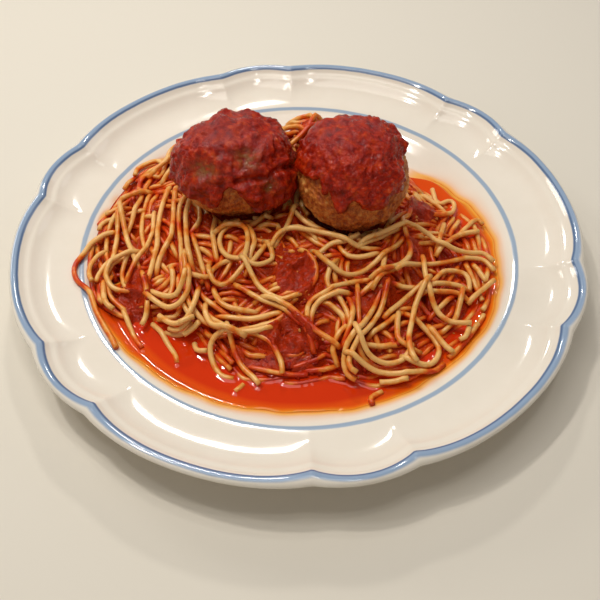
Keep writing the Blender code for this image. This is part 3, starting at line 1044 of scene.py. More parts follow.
# %% Strands on top
STRANDS_ON_TOP = [
    [(-96, 0), (-99.5, -3.5), (-102.5, -10), (-105, -16), (-105, -21.5), (-102.5, -27),
     (-98.5, -30.5), (-95, -35), (-91.5, -43.5), (-87, -51.5), (-82.5, -58.5), (-79, -65)],
    [(-62, 62), (-67.5, 60), (-69.5, 54.5), (-71, 45.5), (-73, 43), (-78.5, 45), (-81.5, 42),
     (-82, 36)],
    [(-82.5, 29.5), (-86, 27.5), (-88.5, 25), (-89, 21), (-86.5, 11.5), (-83.5, 0.5), (-81, -6.5),
     (-77, -15.5)],
    [(-71, 9), (-70.5, 0.5), (-71.5, -7), (-74, -13), (-76, -18.5), (-77.5, -22.5)],
    [(-66.5, 26.5), (-68, 14.5), (-68, 3), (-67, -9), (-68, -18.5), (-69, -27.5)],
    [(-62, 26), (-61.5, 15), (-60.5, 1), (-61, -6), (-63.5, -12), (-65, -17.5)],
    [(-82.5, -15), (-87.5, -19), (-89, -25.5), (-86.5, -31), (-83.5, -33.5), (-78.5, -34.5)],
    [(-57.5, -29), (-57.5, -34), (-59, -38), (-62, -41.5), (-67, -42)],
    [(-70.5, -30), (-69, -35.5), (-68, -43), (-68.5, -47.5), (-70, -51.5)],
    [(-54.5, -32.5), (-53.5, -39), (-50.5, -45.5), (-48, -49.5)],
    [(-47.5, -50), (-49.5, -53.5), (-53.5, -55.5), (-58, -53.5)],
    [(-54.5, 17), (-49, 13), (-47.5, 5.5), (-48, 2)],
    [(-53.5, -23.5), (-50, -40.5), (-46.5, -47.5), (-42, -52.5), (-36, -55)],
    [(-55.5, 18), (-58, 14), (-58, 5), (-56, -6.5), (-54.5, -16), (-53.5, -23.5)],
    [(-52, -23.5), (-50.5, -31), (-47, -39.5), (-43, -45), (-38, -51.5), (-33, -55.5)],
    [(-53, 15.5), (-54.5, 8.5), (-53.5, -2), (-52, -12), (-50, -21), (-47.5, -30), (-45, -36.5),
     (-41, -42), (-35, -46.5)],
    [(-37, -40.5), (-34.5, -44.5), (-30, -47), (-25.5, -48)],
    [(-44.5, -32), (-40.5, -31.5), (-39.5, -27.5), (-37, -24.5)],
    [(-40.5, -29.5), (-38.5, -34.5), (-35, -36.5), (-32, -35.5), (-26.5, -29.5)],
    [(-20.5, 2.5), (-26.5, 1), (-31.5, -2.5), (-35.5, -6), (-37, -11), (-35.5, -16.5),
     (-32.5, -20.5), (-29, -22.5)],
    [(-32.5, -4), (-27.5, -4), (-24.5, -7.5), (-23.5, -13.5), (-24, -20.5), (-24.5, -24.5),
     (-22.5, -27), (-19, -28), (-14.5, -26), (-12, -23.5), (-12.5, -19)],
    [(-3, 4), (-5.5, -4), (-8.5, -11)],
    [(-8.5, -11), (-5.5, -8), (-0.5, -5), (4, -7)],
    [(3.5, 8), (6, 2), (13.5, 0), (18.5, -5), (25, -10)],
    [(9.5, -20), (14.5, -16), (21, -14.5), (27.5, -11), (31, -7), (35, -6)],
    [(2, -8.5), (8.5, -9.5), (15, -11.5), (21, -15), (27, -17), (32.5, -17)],
    [(4.5, -21.5), (7.5, -26.5), (7.5, -33), (4.5, -38.5), (1, -42.5)],
    [(5.5, -52), (7, -48), (11, -45), (17, -43)],
    [(3.5, -52), (4, -47.5), (6.5, -44), (12.5, -41.5), (18, -38.5), (24.5, -36), (32, -34.5)],
    [(39, -23), (37.5, -29.5), (35, -34.5), (31, -39)],
    [(10.5, -24.5), (15, -29.5), (20.5, -32), (26.5, -30.5), (32.5, -26.5), (38.5, -21),
     (44.5, -15), (47.5, -11)],
    [(-22.5, -30.5), (-18, -38), (-13, -42.5), (-8, -45.5), (-5, -45.5)],
    [(-29, -51), (-22, -52), (-14, -51.5)],
    [(-22.5, -40), (-16.5, -44), (-9.5, -48), (-4.5, -52), (0, -56), (3.5, -60), (5.5, -64.5),
     (6.5, -68.5)],
    [(-9.5, -47), (-3.5, -51), (1, -55), (5.5, -59.5), (11, -63.5)],
    [(26, -45), (26, -50.5), (26, -56.5), (23.5, -62)],
    [(25.5, -68), (27.5, -71.5), (32, -74), (36, -75), (43, -74)],
    [(36.5, -39.5), (33, -47.5), (29, -55), (25.5, -61), (20.5, -67.5), (19, -73.5), (20.5, -78.5),
     (24.5, -81)],
    [(38.5, -40.5), (36, -48.5), (31.5, -56), (27.5, -62.5), (23, -69.5), (21, -74.5), (22, -78),
     (25, -80)],
    [(-16.5, -60.5), (-12.5, -63.5), (-9.5, -68.5), (-7.5, -73), (-7, -78.5)],
    [(-29.5, -61.5), (-27, -68.5), (-23.5, -74), (-20, -77.5), (-16.5, -82)],
    [(-28, -77.5), (-33, -76), (-36.5, -71.5), (-38.5, -65.5), (-38, -62), (-35, -59.5),
     (-29, -60), (-22, -60), (-16.5, -59)],
    [(46, -25), (40.5, -30.5), (36.5, -35)],
    [(47, -4), (40.5, -9), (33.5, -13.5)],
    [(48.5, 7.5), (43, 1), (38.5, -4.5)],
    [(69.5, 39), (71, 27.5), (77.5, 30.5), (79.5, 27), (76.1, 18.2), (70, 15.5)],
    [(55.5, 18), (53.5, 9), (50, 4.5), (49.5, -2)],
    [(69.5, -7), (75.5, 0.2), (82.4, 4.6), (88.8, 6.5)],
    [(38.5, -32), (45, -27.5), (50, -21.5), (51.5, -17.5)],
    [(61.5, -30), (66.5, -24), (72.6, -21.5), (77.8, -22.7), (79, -27.1)],
    [(59, -34.5), (66.5, -31), (73.7, -30.9), (79.5, -33)],
    [(61.5, -36.5), (68.5, -35), (74.9, -35.8), (79, -38.6)],
    [(73.2, -38.9), (70.5, -47), (67.5, -51.5)],
    [(42.5, -46), (48, -40.5), (55, -34.5)],
    [(50, -26), (58, -21), (67.5, -16.5), (78.4, -13.1), (87.7, -12.6), (92.3, -19.8)],
    [(34.5, -12.5), (41.5, -8.5), (48, -4.5), (55.5, -2.5), (61, -4.5), (65.5, -8.5),
     (71.5, -10.5), (80.7, -10.5), (88.2, -9.5), (92.3, -14.3)],
    [(83, -33.3), (90.6, -26.7)],
    [(57.5, -23), (57.5, -31.5), (59, -40.5), (62, -47.5), (67.5, -51.5), (77, -52.5)],
    [(26, -66.5), (29.5, -72), (36.5, -74), (43, -72.5), (46, -70)],
    [(26, -74.5), (32.5, -77), (43, -78), (51, -76.5), (58, -75), (62.7, -70.7)],
    [(53, -52), (58, -57), (61, -63), (59.5, -69), (55, -73.5), (50, -73.5)],
    [(55.5, -37.5), (52, -44.5), (49.5, -53.5), (47.5, -61.5), (47.5, -69), (50, -75.5)],
    [(60.5, -58.5), (63.5, -63), (67, -66.5)],
    [(-11, 45), (-6, 48), (0, 49), (6, 47), (10, 43)],
    [(-3, 38), (-1, 43), (-2, 49), (-5, 55), (-4, 61)],
    [(9, 50), (5, 46), (1, 42), (-2, 37)],
    [(-10, 51), (-4, 46), (2, 46), (7, 50), (13, 52)],
    [(-63.8, -42.3), (-58, -45.8), (-52.8, -44.6), (-49.6, -40), (-49.2, -34)],
    [(-62.3, -48), (-55.5, -53.7), (-50, -53.7), (-47, -49.2), (-45.7, -42.3)],
    [(-60.5, -40), (-54.9, -41.2), (-51.7, -36.5)],
    [(-50.6, -58), (-43, -53.7)],
    [(-40.5, -51.5), (-37.5, -57), (-30.3, -60.3)],
    [(-14, 50), (-10, 49), (-5, 49), (-1.5, 47), (3, 44)],
    [(-6, 52), (-2, 50), (3, 50.5), (8, 52)],
    [(2, 53.5), (6.5, 51.5), (10, 46)],
    [(7, 48.5), (9.5, 51), (14, 50.5), (19, 47)],
    [(-7, 43), (-5, 38), (-1, 31), (1, 25)],
    [(0, 38), (3, 40.5), (7, 44)],
    [(-72, 48), (-66, 53), (-60, 56), (-53, 62), (-46, 68)],
    [(-66, 44), (-61, 51), (-57, 56), (-54, 64), (-53, 71)],
    [(-61, 46), (-56, 52), (-49, 57), (-42, 58)],
]

# %% Strands that float
STRANDS_AFLOAT = [
    [(-66, -48.5), (-61.5, -53.5), (-57.5, -60), (-54, -65.5), (-53, -69.5)],
    [(-79.5, -42.5), (-77, -48), (-73, -56), (-68.5, -62.5)],
    [(-52, -56.5), (-45, -53)],
    [(-46, -60), (-44.5, -64), (-40, -66)],
    [(-27, -84), (-23, -80)],
    [(35, -84.5), (30, -88), (30.5, -92)],
]

# %% Lay them
hidden_top = surface.copy()
for points in STRANDS_UNDER + STRANDS_ON_TOP:
    lay(through(points), surface, least=3, longer=8)
for points in STRANDS_AFLOAT:
    lay(through(points), surface, least=3)
print(len(laid) - hidden, "strands that show")

# %% [markdown]
# ## Where the sauce clings
#
# Sauce runs down and gathers: beside the spoonfuls of chunky sauce, in the hollows between strands
# and along the thin sauce. One field from 0 to 1 says how much there is, and both the sauce between
# the strands and the stain on the strands read it.

# %% Sauce over the heap
SPOONFULS = {  # place, half sizes and turn in degrees
    "middle": ((-1, -31), (10.5, 14.5, 3.4), 15),
    "front": ((-4, -61), (13, 9, 3.0), 8),
    "side": ((-74, -35), (7, 13, 2.8), 5),
    "back": ((60, 17), (8, 8, 3.8), 0),
}
SMEARS = [  # place, size and amount
    (1, -72, 9, 0.9),
    (-15, -74, 9, 0.9),
    (-30, -70, 7, 0.8),
    (55, -11, 7, 0.8),
    (28, -46, 8, 0.7),
    (-52, -3, 5, 0.7),
    (-54, -25, 5, 0.6),
    (-78, -24, 5, 0.7),
    (-44, 6, 6, 0.8),
    (-7, 2, 7, 0.8),
    (-72, 22, 6, 0.6),
    (-82, 40, 6, 0.6),
    (38, -36, 6, 0.6),
    (40, -62, 7, 0.6),
    (72, -38, 6, 0.5),
    (-13, -8, 6, 0.9),
    (-8, -17, 6, 0.8),
    (4, 45, 7, 1.0),
    (3, 36, 7, 1.0),
    (-60, 55, 7, 0.8),
    (-52, 66, 9, 0.7),
    (60, 44, 9, 0.7),
]
sauce_field = np.zeros_like(surface)
for (x, y), (half_x, half_y, _), turn in SPOONFULS.values():
    c, s = math.cos(math.radians(turn)), math.sin(math.radians(turn))
    u = ((field_x - x) * c + (field_y - y) * s) / half_x
    v = (-(field_x - x) * s + (field_y - y) * c) / half_y
    sauce_field = np.maximum(sauce_field, 1.1 * np.exp(-0.9 * (u * u + v * v) ** 1.5))
for x, y, size, amount in SMEARS:
    near = np.hypot(field_x - x, field_y - y) / size
    sauce_field = np.maximum(sauce_field, amount * np.exp(-(near**2)))
patchy = noise_field(11, 4.2) + 0.5 * noise_field(5, 7.7, 1.0)
sauce_field = np.clip(sauce_field + 0.42 * patchy + 0.12, 0, 1)
cling_field = sauce_field.copy()
pool_reach = np.where(by_water, field_radius - reach_field, -20)
sauce_field = np.maximum(sauce_field, smooth_step(pool_reach, -4, 3) * 0.6)
print("heap under sauce:", round(float((sauce_field[in_heap] > 0.5).mean()), 2))

# %% [markdown]
# ## Sauce between the strands
#
# From above, the gaps in the heap are red. That red is one body of sauce with the strands standing
# in it. We make it as a square sheet of points pulled out to the heap's outline, then folded: one
# half is the surface that shows, and the other lies on the plate. Where there is little sauce, the
# surface lies among the hidden strands, and where there is much, it covers them and all but covers
# those on top.

# %% The sauce's surface
heap_top = surface.copy()
leaned = blurred(np.where(in_heap, surface, plate_field + 2.5), 2.4)
among_hidden = blurred(np.where(in_heap, hidden_top, plate_field + 1.5), 1.6) - 0.6
lumps = 0.9 * noise_field(4.5, 2.0, 1.0) + 0.8 * noise_field(2.4, 5.0, 0.8)
lumps += 0.4 * noise_field(1.3, 8.0, 0.5)
heaped = smooth_step(sauce_field, 0.30, 0.85)
sauce_top = among_hidden * (1 - heaped) + (leaned + 0.6) * heaped + lumps * (0.5 + 0.8 * heaped)
sauce_top = np.minimum(sauce_top, under_balls - 2.0)
rim_share = smooth_step((1 - away) * reach_field, 1.5, 9.0)
sauce_top = plate_field + 0.12 + np.clip(sauce_top - plate_field, 0.1, None) * rim_share
print("sauce between strands, mm deep:", round(float((sauce_top - plate_field)[in_heap].mean()), 1))

# %% Fold a sheet into the sauce
SHEET_STEPS = 200
bm = bmesh.new()
bmesh.ops.create_grid(bm, x_segments=SHEET_STEPS, y_segments=SHEET_STEPS, size=1)
shows_of = bm.verts.layers.float.new("shows")
for vert in bm.verts:
    vert[shows_of] = 1
copied = bmesh.ops.duplicate(bm, geom=bm.verts[:] + bm.edges[:] + bm.faces[:])
under_faces = [item for item in copied["geom"] if isinstance(item, bmesh.types.BMFace)]
for vert in {vert for face in under_faces for vert in face.verts}:
    vert[shows_of] = 0
bmesh.ops.reverse_faces(bm, faces=under_faces)
square = np.array([vert.co for vert in bm.verts])
shows = np.array([vert[shows_of] for vert in bm.verts]) > 0.5
round_x = square[:, 0] * np.sqrt(1 - square[:, 1] ** 2 / 2)
round_y = square[:, 1] * np.sqrt(1 - square[:, 0] ** 2 / 2)
sheet_reach = heap_reach(np.degrees(np.arctan2(round_y, round_x))) - 1.6
sheet_x, sheet_y = round_x * sheet_reach, round_y * sheet_reach
on_edge = np.maximum(abs(square[:, 0]), abs(square[:, 1])) > 0.9999
glaze_there = plate_top(np.hypot(sheet_x, sheet_y))
sheet_z = np.where(shows, read(sauce_top, sheet_x, sheet_y), glaze_there + 0.05)
sheet_z[on_edge] = glaze_there[on_edge] + 0.08
for vert, place in zip(bm.verts, np.column_stack([sheet_x, sheet_y, sheet_z])):
    vert.co = place
bmesh.ops.remove_doubles(bm, verts=bm.verts[:], dist=0.01)
sauce_sheet = bm
sheet_places = np.array([vert.co for vert in bm.verts])
sheet_oil = 1 - read(sauce_field, sheet_places[:, 0], sheet_places[:, 1])
print("sauce sheet:", len(bm.verts), "points")

# %% [markdown]
# ### Chunky tomato sauce
#
# Cooked tomato pulp is deep red and wet, so it is as smooth as water between its lumps, with an IOR
# a little above water's. Its grain is crushed tomato of 1 to 3 mm, whose small facets each catch a
# glint. It is brown where it is thin over meat, which the `thin` attribute says, and more orange
# where there is more oil in it, which the `oil` attribute says.

# %% Chunky sauce material
chunky, tree = start_material("cooked_crushed_tomato")
place_node = add_node(tree, "ShaderNodeTexCoord")
thin_node = add_node(tree, "ShaderNodeAttribute", {"attribute_name": "thin"})
pulp = add_node(
    tree,
    "ShaderNodeTexNoise",
    inputs={"Vector": place_node.outputs["Object"], "Scale": 260, "Detail": 4, "Roughness": 0.6},
)
grain = add_node(
    tree,
    "ShaderNodeTexNoise",
    inputs={"Vector": place_node.outputs["Object"], "Scale": 1100, "Detail": 2},
)
pulp_colour = add_node(
    tree,
    "ShaderNodeValToRGB",
    inputs={"Fac": pulp.outputs["Fac"]},
    stops=[
        (0.30, linear("#6C0C02")),
        (0.46, linear("#921803")),
        (0.60, linear("#B02A07")),
        (0.78, linear("#D2561C")),
    ],
)
thin_colour = add_node(
    tree,
    "ShaderNodeMix",
    {"data_type": "RGBA"},
    {"Factor": thin_node.outputs["Fac"], 6: pulp_colour.outputs["Color"], 7: linear("#8A4E1E")},
)
oily_node = add_node(tree, "ShaderNodeAttribute", {"attribute_name": "oil"})
oily_colour = add_node(
    tree,
    "ShaderNodeMix",
    {"data_type": "RGBA"},
    {"Factor": oily_node.outputs["Fac"], 6: thin_colour.outputs[2], 7: linear("#CC440E")},
)
relief = add_node(
    tree,
    "ShaderNodeMath",
    {"operation": "MULTIPLY_ADD"},
    {0: grain.outputs["Fac"], 1: 0.7, 2: pulp.outputs["Fac"]},
)
pulp_bump = add_node(
    tree,
    "ShaderNodeBump",
    inputs={"Height": relief.outputs[0], "Strength": 0.8, "Distance": 0.0009},
)
finish_material(
    tree,
    add_node(
        tree,
        "ShaderNodeBsdfPrincipled",
        inputs={
            "Base Color": oily_colour.outputs[2],
            "Roughness": 0.09,
            "IOR": 1.35,
            "Normal": pulp_bump.outputs["Normal"],
        },
    ),
)
finish_piece(
    "sauce_between_strands",
    sauce_sheet,
    chunky,
    "chunky_sauce",
    "spaghetti",
    attributes={"oil": 0.3 + 0.55 * np.clip(sheet_oil, 0, 1)},
)

# %% [markdown]
# ## Strands as meshes
#
# A curve with a round bevel and filled caps is the plainest way to make a strand. All strands of a
# layer share one curve object, which is then turned to a mesh, so that each of its points can carry
# an attribute: `stain_and_shade`, how much sauce has soaked in there, with painted shade added.
# Strands near sauce are stained. Strands low in the heap, and the low side of each strand, turn
# redder and darker, partly from sauce gathered there and partly as painted shade and painted red
# light bounced from the sauce. Those on top stay pale. A knot each two millimetres is enough for
# the bends.

# %% Strands to meshes
BEVEL_STEPS = 2
KNOT_SPACING = 2
usual_top = blurred(np.where(in_heap, surface, plate_field + 3), 3.0)


def strands_piece(name, strands, material):
    curve = bpy.data.curves.new(name, "CURVE")
    curve.dimensions = "3D"
    curve.bevel_depth = STRAND_RADIUS * MM
    curve.bevel_resolution = BEVEL_STEPS
    curve.use_fill_caps = True
    for strand in strands:
        knots = strand[::KNOT_SPACING]
        if len(strand) % KNOT_SPACING != 1:
            knots = np.vstack([knots[:-1], strand[-1:]]) if len(knots) > 2 else strand[[0, -1]]
        spline = curve.splines.new("POLY")
        spline.points.add(len(knots) - 1)
        spline.points.foreach_set("co", np.column_stack([knots * MM, np.ones(len(knots))]).ravel())
        thickness = draw.uniform(0.95, 1.05)
        wave = draw.uniform(0, math.tau)
        widths = thickness * (1 + 0.025 * np.sin(np.arange(len(knots)) * 0.4 + wave))
        spline.points.foreach_set("radius", widths)
    guide = bpy.data.objects.new(name + "_guide", curve)
    bpy.context.scene.collection.objects.link(guide)
    bpy.context.view_layer.update()
    evaluated = guide.evaluated_get(bpy.context.evaluated_depsgraph_get())
    bm = bmesh.new()
    bm.from_mesh(bpy.data.meshes.new_from_object(evaluated))
    bpy.data.objects.remove(guide)
    bmesh.ops.scale(bm, verts=bm.verts[:], vec=(1 / MM, 1 / MM, 1 / MM))
    bmesh.ops.remove_doubles(bm, verts=bm.verts[:], dist=0.01)
    places = np.array([vert.co for vert in bm.verts])
    # Below the heap's usual top, and on each strand's underside, the stain is partly sauce gathered
    # low and partly painted shade and painted red light bounced from the sauce.
    buried = read(usual_top, places[:, 0], places[:, 1]) - places[:, 2]
    clinging = read(cling_field, places[:, 0], places[:, 1])
    stain_and_shade = 0.21 * np.clip(buried, -1.2, 1.0) + 0.05 * np.clip(buried - 1, 0, 6)
    stain_and_shade += 0.6 * clinging**1.3 + 0.04
    return finish_piece(name, bm, material, "pasta", "spaghetti", attributes={"stain_and_shade": stain_and_shade})


# %% [markdown]
# ### Cooked pasta
#
# Durum wheat pasta turns pale cream-gold when cooked, slightly see-through and wet. Oil carries the
# tomato's orange into it in patches. The `stain_and_shade` attribute mixes the two colours, broken
# up by noise of a few millimetres, and its painted shade takes strands low in the heap and their
# undersides on to a darker red. A thin bright film of sauce makes it shine.

# %% Pasta material
pasta, tree = start_material("cooked_durum_pasta")
place_node = add_node(tree, "ShaderNodeTexCoord")
stain_and_shade_node = add_node(tree, "ShaderNodeAttribute", {"attribute_name": "stain_and_shade"})
streaks = add_node(
    tree,
    "ShaderNodeTexNoise",
    inputs={"Vector": place_node.outputs["Object"], "Scale": 170, "Detail": 3, "Roughness": 0.55},
)
broad = add_node(
    tree,
    "ShaderNodeTexNoise",
    inputs={"Vector": place_node.outputs["Object"], "Scale": 42, "Detail": 1},
)
spread_out = add_node(
    tree,
    "ShaderNodeMath",
    {"operation": "MULTIPLY_ADD"},
    {0: streaks.outputs["Fac"], 1: 1.3, 2: -0.65},
)
with_broad = add_node(
    tree,
    "ShaderNodeMath",
    {"operation": "MULTIPLY_ADD"},
    {0: broad.outputs["Fac"], 1: 0.9, 2: spread_out.outputs[0]},
)
stained_and_shaded = add_node(
    tree,
    "ShaderNodeMath",
    {"operation": "ADD"},
    {0: with_broad.outputs[0], 1: stain_and_shade_node.outputs["Fac"]},
)
# The ramp's darker red end is reached partly through sauce and partly through painted shade.
pasta_colour = add_node(
    tree,
    "ShaderNodeValToRGB",
    inputs={"Fac": stained_and_shaded.outputs[0]},
    stops=[
        (0.28, linear("#EEBA70")),
        (0.46, linear("#E69C44")),
        (0.62, linear("#E27620")),
        (0.80, linear("#D4480A")),
        (1.0, linear("#BA2A06")),
    ],
)
skin = add_node(
    tree,
    "ShaderNodeBump",
    inputs={"Height": streaks.outputs["Fac"], "Strength": 0.15, "Distance": 0.0004},
)
finish_material(
    tree,
    add_node(
        tree,
        "ShaderNodeBsdfPrincipled",
        inputs={
            "Base Color": pasta_colour.outputs["Color"],
            "Roughness": 0.28,
            "IOR": 1.42,
            "Subsurface Weight": 0.18,
            "Subsurface Radius": (1.0, 0.6, 0.3),
            "Subsurface Scale": 0.0012,
            "Normal": skin.outputs["Normal"],
        },
    ),
)

# %% Split the strands into four pieces
splits = [0, hidden // 3, 2 * hidden // 3, hidden, len(laid)]
for title, first, last in zip(("lowest", "low", "middle", "top"), splits, splits[1:]):
    strands_piece(f"spaghetti_{title}", laid[first:last], pasta)

# %% [markdown]
# ## Thin sauce
#
# Oil and tomato juice have run out of the heap into the well. The liquid is level, but it climbs a
# little where it touches a strand, and those edges catch the light. We spin a fan of rings from
# the heap to the shore and read how near the next strand is from the field. At the right it thins
# out: behind the heap only a film of oil runs on.

# %% How near the strands stand
CLIMB = 0.4
proud = (surface > POOL_LEVEL + 0.15).astype(float)
climb = np.zeros_like(surface)
spread_mask = proud.copy()
for ring in range(3):
    climb = np.maximum(climb, spread_mask * math.exp(-ring))
    wider = spread_mask.copy()
    for shift in (1, -1):
        wider = np.maximum(wider, np.roll(spread_mask, shift, axis=0))
        wider = np.maximum(wider, np.roll(spread_mask, shift, axis=1))
    spread_mask = wider
climb = blurred(climb, 0.4)

# %% Spin the thin sauce
POOL_TURNS = 620
RINGS = 60
FILM_TURNS = (345, 365)  # degrees over which the pool thins to a film at its shore
PALER_TURNS = (352, 380)  # and over which its colour pales to oil
bm = bmesh.new()
share_of = bm.verts.layers.float.new("share")
top_of = bm.verts.layers.float.new("top")
section = []
for top in (1, 0):
    for ring in range(RINGS + 1) if top else range(RINGS - 2, -1, -20):
        vert = bm.verts.new((10 + ring / RINGS, 0, top))
        vert[share_of] = ring / RINGS
        vert[top_of] = top
        section.append(vert)
face = bm.faces.new(section)
bmesh.ops.rotate(bm, verts=bm.verts[:], matrix=Matrix.Rotation(math.radians(POOL_START), 3, "Z"))
sweep = math.radians(POOL_END - POOL_START)
bmesh.ops.spin(bm, geom=[face], axis=(0, 0, 1), angle=sweep, steps=POOL_TURNS)
bmesh.ops.remove_doubles(bm, verts=bm.verts[:], dist=0.0005)
pool_places = np.array([vert.co for vert in bm.verts])
pool_share = np.array([vert[share_of] for vert in bm.verts])
pool_is_top = np.array([vert[top_of] for vert in bm.verts]) > 0.5
pool_turn = pool_angle(np.degrees(np.arctan2(pool_places[:, 1], pool_places[:, 0])) + 1e-6)
pool_turn = np.clip(pool_turn, POOL_START, POOL_END)
inner = heap_reach(pool_turn) - 9.0
ends = smooth_step(POOL_END - pool_turn, 0, 16) * smooth_step(pool_turn - POOL_START, 0, 5)
outer = shore_radius(pool_turn) * ends + (heap_reach(pool_turn) - 1.5) * (1 - ends)
pool_radius = inner + (outer - inner) * pool_share
pool_x = pool_radius * np.cos(np.radians(pool_turn))
pool_y = pool_radius * np.sin(np.radians(pool_turn))
floor_there = plate_top(pool_radius)
shore_near = np.exp(-(outer - pool_radius) / 0.7)
level = POOL_LEVEL + CLIMB * read(climb, pool_x, pool_y) - 0.25 * shore_near
film = smooth_step(pool_turn, *FILM_TURNS) * (1 - smooth_step(outer - pool_radius, 0, 4))
level = floor_there + (level - floor_there) * (1 - film)
level = np.where(pool_is_top, np.maximum(level, floor_there + 0.06), floor_there - 0.3)
for vert, place in zip(bm.verts, np.column_stack([pool_x, pool_y, level])):
    vert.co = place
pool_depth = np.where(pool_is_top, level - floor_there, 2)
print("thin sauce: deepest", round(float(pool_depth[pool_is_top].max()), 1), "mm")

# %% [markdown]
# ### Thin sauce material
#
# This is oil with tomato juice in it: clear, with a mirror-like surface. Deep liquid is red, and
# where it thins to nothing over the glaze it turns orange and then yellow. The real one is see-
# through, but its depth is never over 4 mm, so the depth itself can choose the colour. The shore is
# steep, so the colour there comes from how far in a point lies.

# %% Thin sauce colour
liquid, tree = start_material("tomato_oil_and_juice")
depth_node = add_node(tree, "ShaderNodeAttribute", {"attribute_name": "depth"})
place_node = add_node(tree, "ShaderNodeTexCoord")
clouds = add_node(
    tree,
    "ShaderNodeTexNoise",
    inputs={"Vector": place_node.outputs["Object"], "Scale": 60, "Detail": 3},
)
cloudy = add_node(
    tree,
    "ShaderNodeMath",
    {"operation": "MULTIPLY_ADD"},
    {0: clouds.outputs["Fac"], 1: 0.5, 2: depth_node.outputs["Fac"]},
)
liquid_range = add_node(
    tree,
    "ShaderNodeMapRange",
    inputs={"Value": cloudy.outputs[0], "From Min": 0.0, "From Max": 3.2},
)
liquid_colour = add_node(
    tree,
    "ShaderNodeValToRGB",
    inputs={"Fac": liquid_range.outputs["Result"]},
    stops=[
        (0.08, linear("#F0AE48")),
        (0.20, linear("#EE861E")),
        (0.42, linear("#E2520C")),
        (0.75, linear("#D23408")),
    ],
)
finish_material(
    tree,
    add_node(
        tree,
        "ShaderNodeBsdfPrincipled",
        inputs={
            "Base Color": liquid_colour.outputs["Color"],
            "Roughness": 0.04,
            "IOR": 1.4,
        },
    ),
)
shade = np.maximum(pool_depth, 1.5 * (1 - np.exp((pool_radius - outer) / 1.8)))
shade *= 1 - 0.6 * smooth_step(pool_turn, *PALER_TURNS)
finish_piece(
    "thin_sauce_in_well", bm, liquid, "thin_sauce", "thin_sauce", attributes={"depth": shade}
)

# %% [markdown]
# ## Meatballs
#
# A browned meatball is rough: coarse mince of 2 to 4 mm, set hard outside by frying. A sphere made
# of even triangles takes that roughness alike on every side, so it starts from `create_icosphere`.


# %% Crumbs of mince
BALL_DETAIL = 7  # gives 81,920 triangles


def crumbs(place, seed):
    """How far the browned mince stands out at a place, in millimetres."""
    at = place + Vector((seed, seed, seed)) * 7
    coarse = noise.noise(at / 5.5)
    grains = 0.5 - abs(noise.noise(at / 2.6))
    fine = noise.noise(at / 1.2)
    return 1.0 * coarse + 1.5 * (grains - 0.35) + 0.35 * fine


browned = {}
for name in BALLS:
    bm = bmesh.new()
    bmesh.ops.create_icosphere(bm, subdivisions=BALL_DETAIL, radius=1)
    for vert in bm.verts:
        direction = vert.co.normalized()
        place = ball_surface(name, direction)
        vert.co = place + direction * crumbs(place, BALLS[name][2])
    browned[name] = bm
    print(name, "meatball, mm wide:", round(2 * BALLS[name][1].x, 1))

# %% [markdown]
# ### Browned mince
#
# Fried beef and pork mince is warm brown. Its colour and its bump read the same noise, so it is
# darker where the bump lies low and in broad patches of crust, and lighter and a little yellow
# where the bump stands high, where fat or breadcrumb shows. It is only slightly shiny.

# %% Meat material
meat, tree = start_material("fried_minced_meat")
place_node = add_node(tree, "ShaderNodeTexCoord")
mince = add_node(
    tree,
    "ShaderNodeTexNoise",
    inputs={"Vector": place_node.outputs["Object"], "Scale": 330, "Detail": 5, "Roughness": 0.7},
)
crust = add_node(
    tree,
    "ShaderNodeTexNoise",
    inputs={"Vector": place_node.outputs["Object"], "Scale": 75, "Detail": 2},
)
mixed = add_node(
    tree,
    "ShaderNodeMath",
    {"operation": "MULTIPLY_ADD"},
    {0: crust.outputs["Fac"], 1: 0.5, 2: mince.outputs["Fac"]},
)
meat_colour = add_node(
    tree,
    "ShaderNodeValToRGB",
    inputs={"Fac": mixed.outputs[0]},
    stops=[
        (0.50, linear("#682406")),
        (0.66, linear("#A84C16")),
        (0.80, linear("#CC742C")),
        (0.95, linear("#E2A458")),
    ],
)
mince_bump = add_node(
    tree,
    "ShaderNodeBump",
    inputs={"Height": mince.outputs["Fac"], "Strength": 0.7, "Distance": 0.0012},
)
finish_material(
    tree,
    add_node(
        tree,
        "ShaderNodeBsdfPrincipled",
        inputs={
            "Base Color": meat_colour.outputs["Color"],
            "Roughness": 0.5,
            "IOR": 1.42,
            "Normal": mince_bump.outputs["Normal"],
        },
    ),
)
for name, bm in browned.items():
    finish_piece(f"meatball_{name}_browned", bm, meat, "meat", f"meatball_{name}")

# %% [markdown]
# ## Sauce over the meatballs
#
# The sauce was spooned on top and ran down in tongues, stopping where it ran out. It has a rounded
# lip, because thick sauce holds its edge. We take the meatball's form again and push it out by the
# sauce's thickness, which falls to less than nothing past the lip, so there the sauce dives into
# the meat and is hidden.

# %% How far down the sauce runs
SAUCE_THICKNESS = 2.5
LIP_WIDTH = 2.4
CREVICE_DEPTH = 2.6
CREVICE_WIDTH = 1.5
LIPS = {  # azimuth and angle from the top, in degrees
    "left": [
        (0, 92), (30, 90), (60, 92), (90, 88), (120, 84), (150, 86), (180, 94), (199, 100),
        (210, 104), (222, 101), (234, 99), (249, 102), (255, 98), (259, 89), (263, 77), (267, 72),
        (273, 75), (278, 84), (284, 95), (290, 108), (302, 118), (312, 118), (321, 115),
        (328, 110), (340, 102),
    ],
    "right": [
        (10, 60), (30, 66), (60, 72), (90, 72), (120, 70), (150, 74), (180, 76), (199, 71),
        (214, 66), (225, 60), (230, 66), (235, 73), (240, 69), (245, 75), (249, 83), (254, 88),
        (259, 86), (262, 76), (267, 71), (272, 74), (276, 81), (284, 84), (293, 84), (298, 78),
        (304, 74), (314, 76), (322, 78), (330, 72), (336, 62), (350, 56),
    ],
}
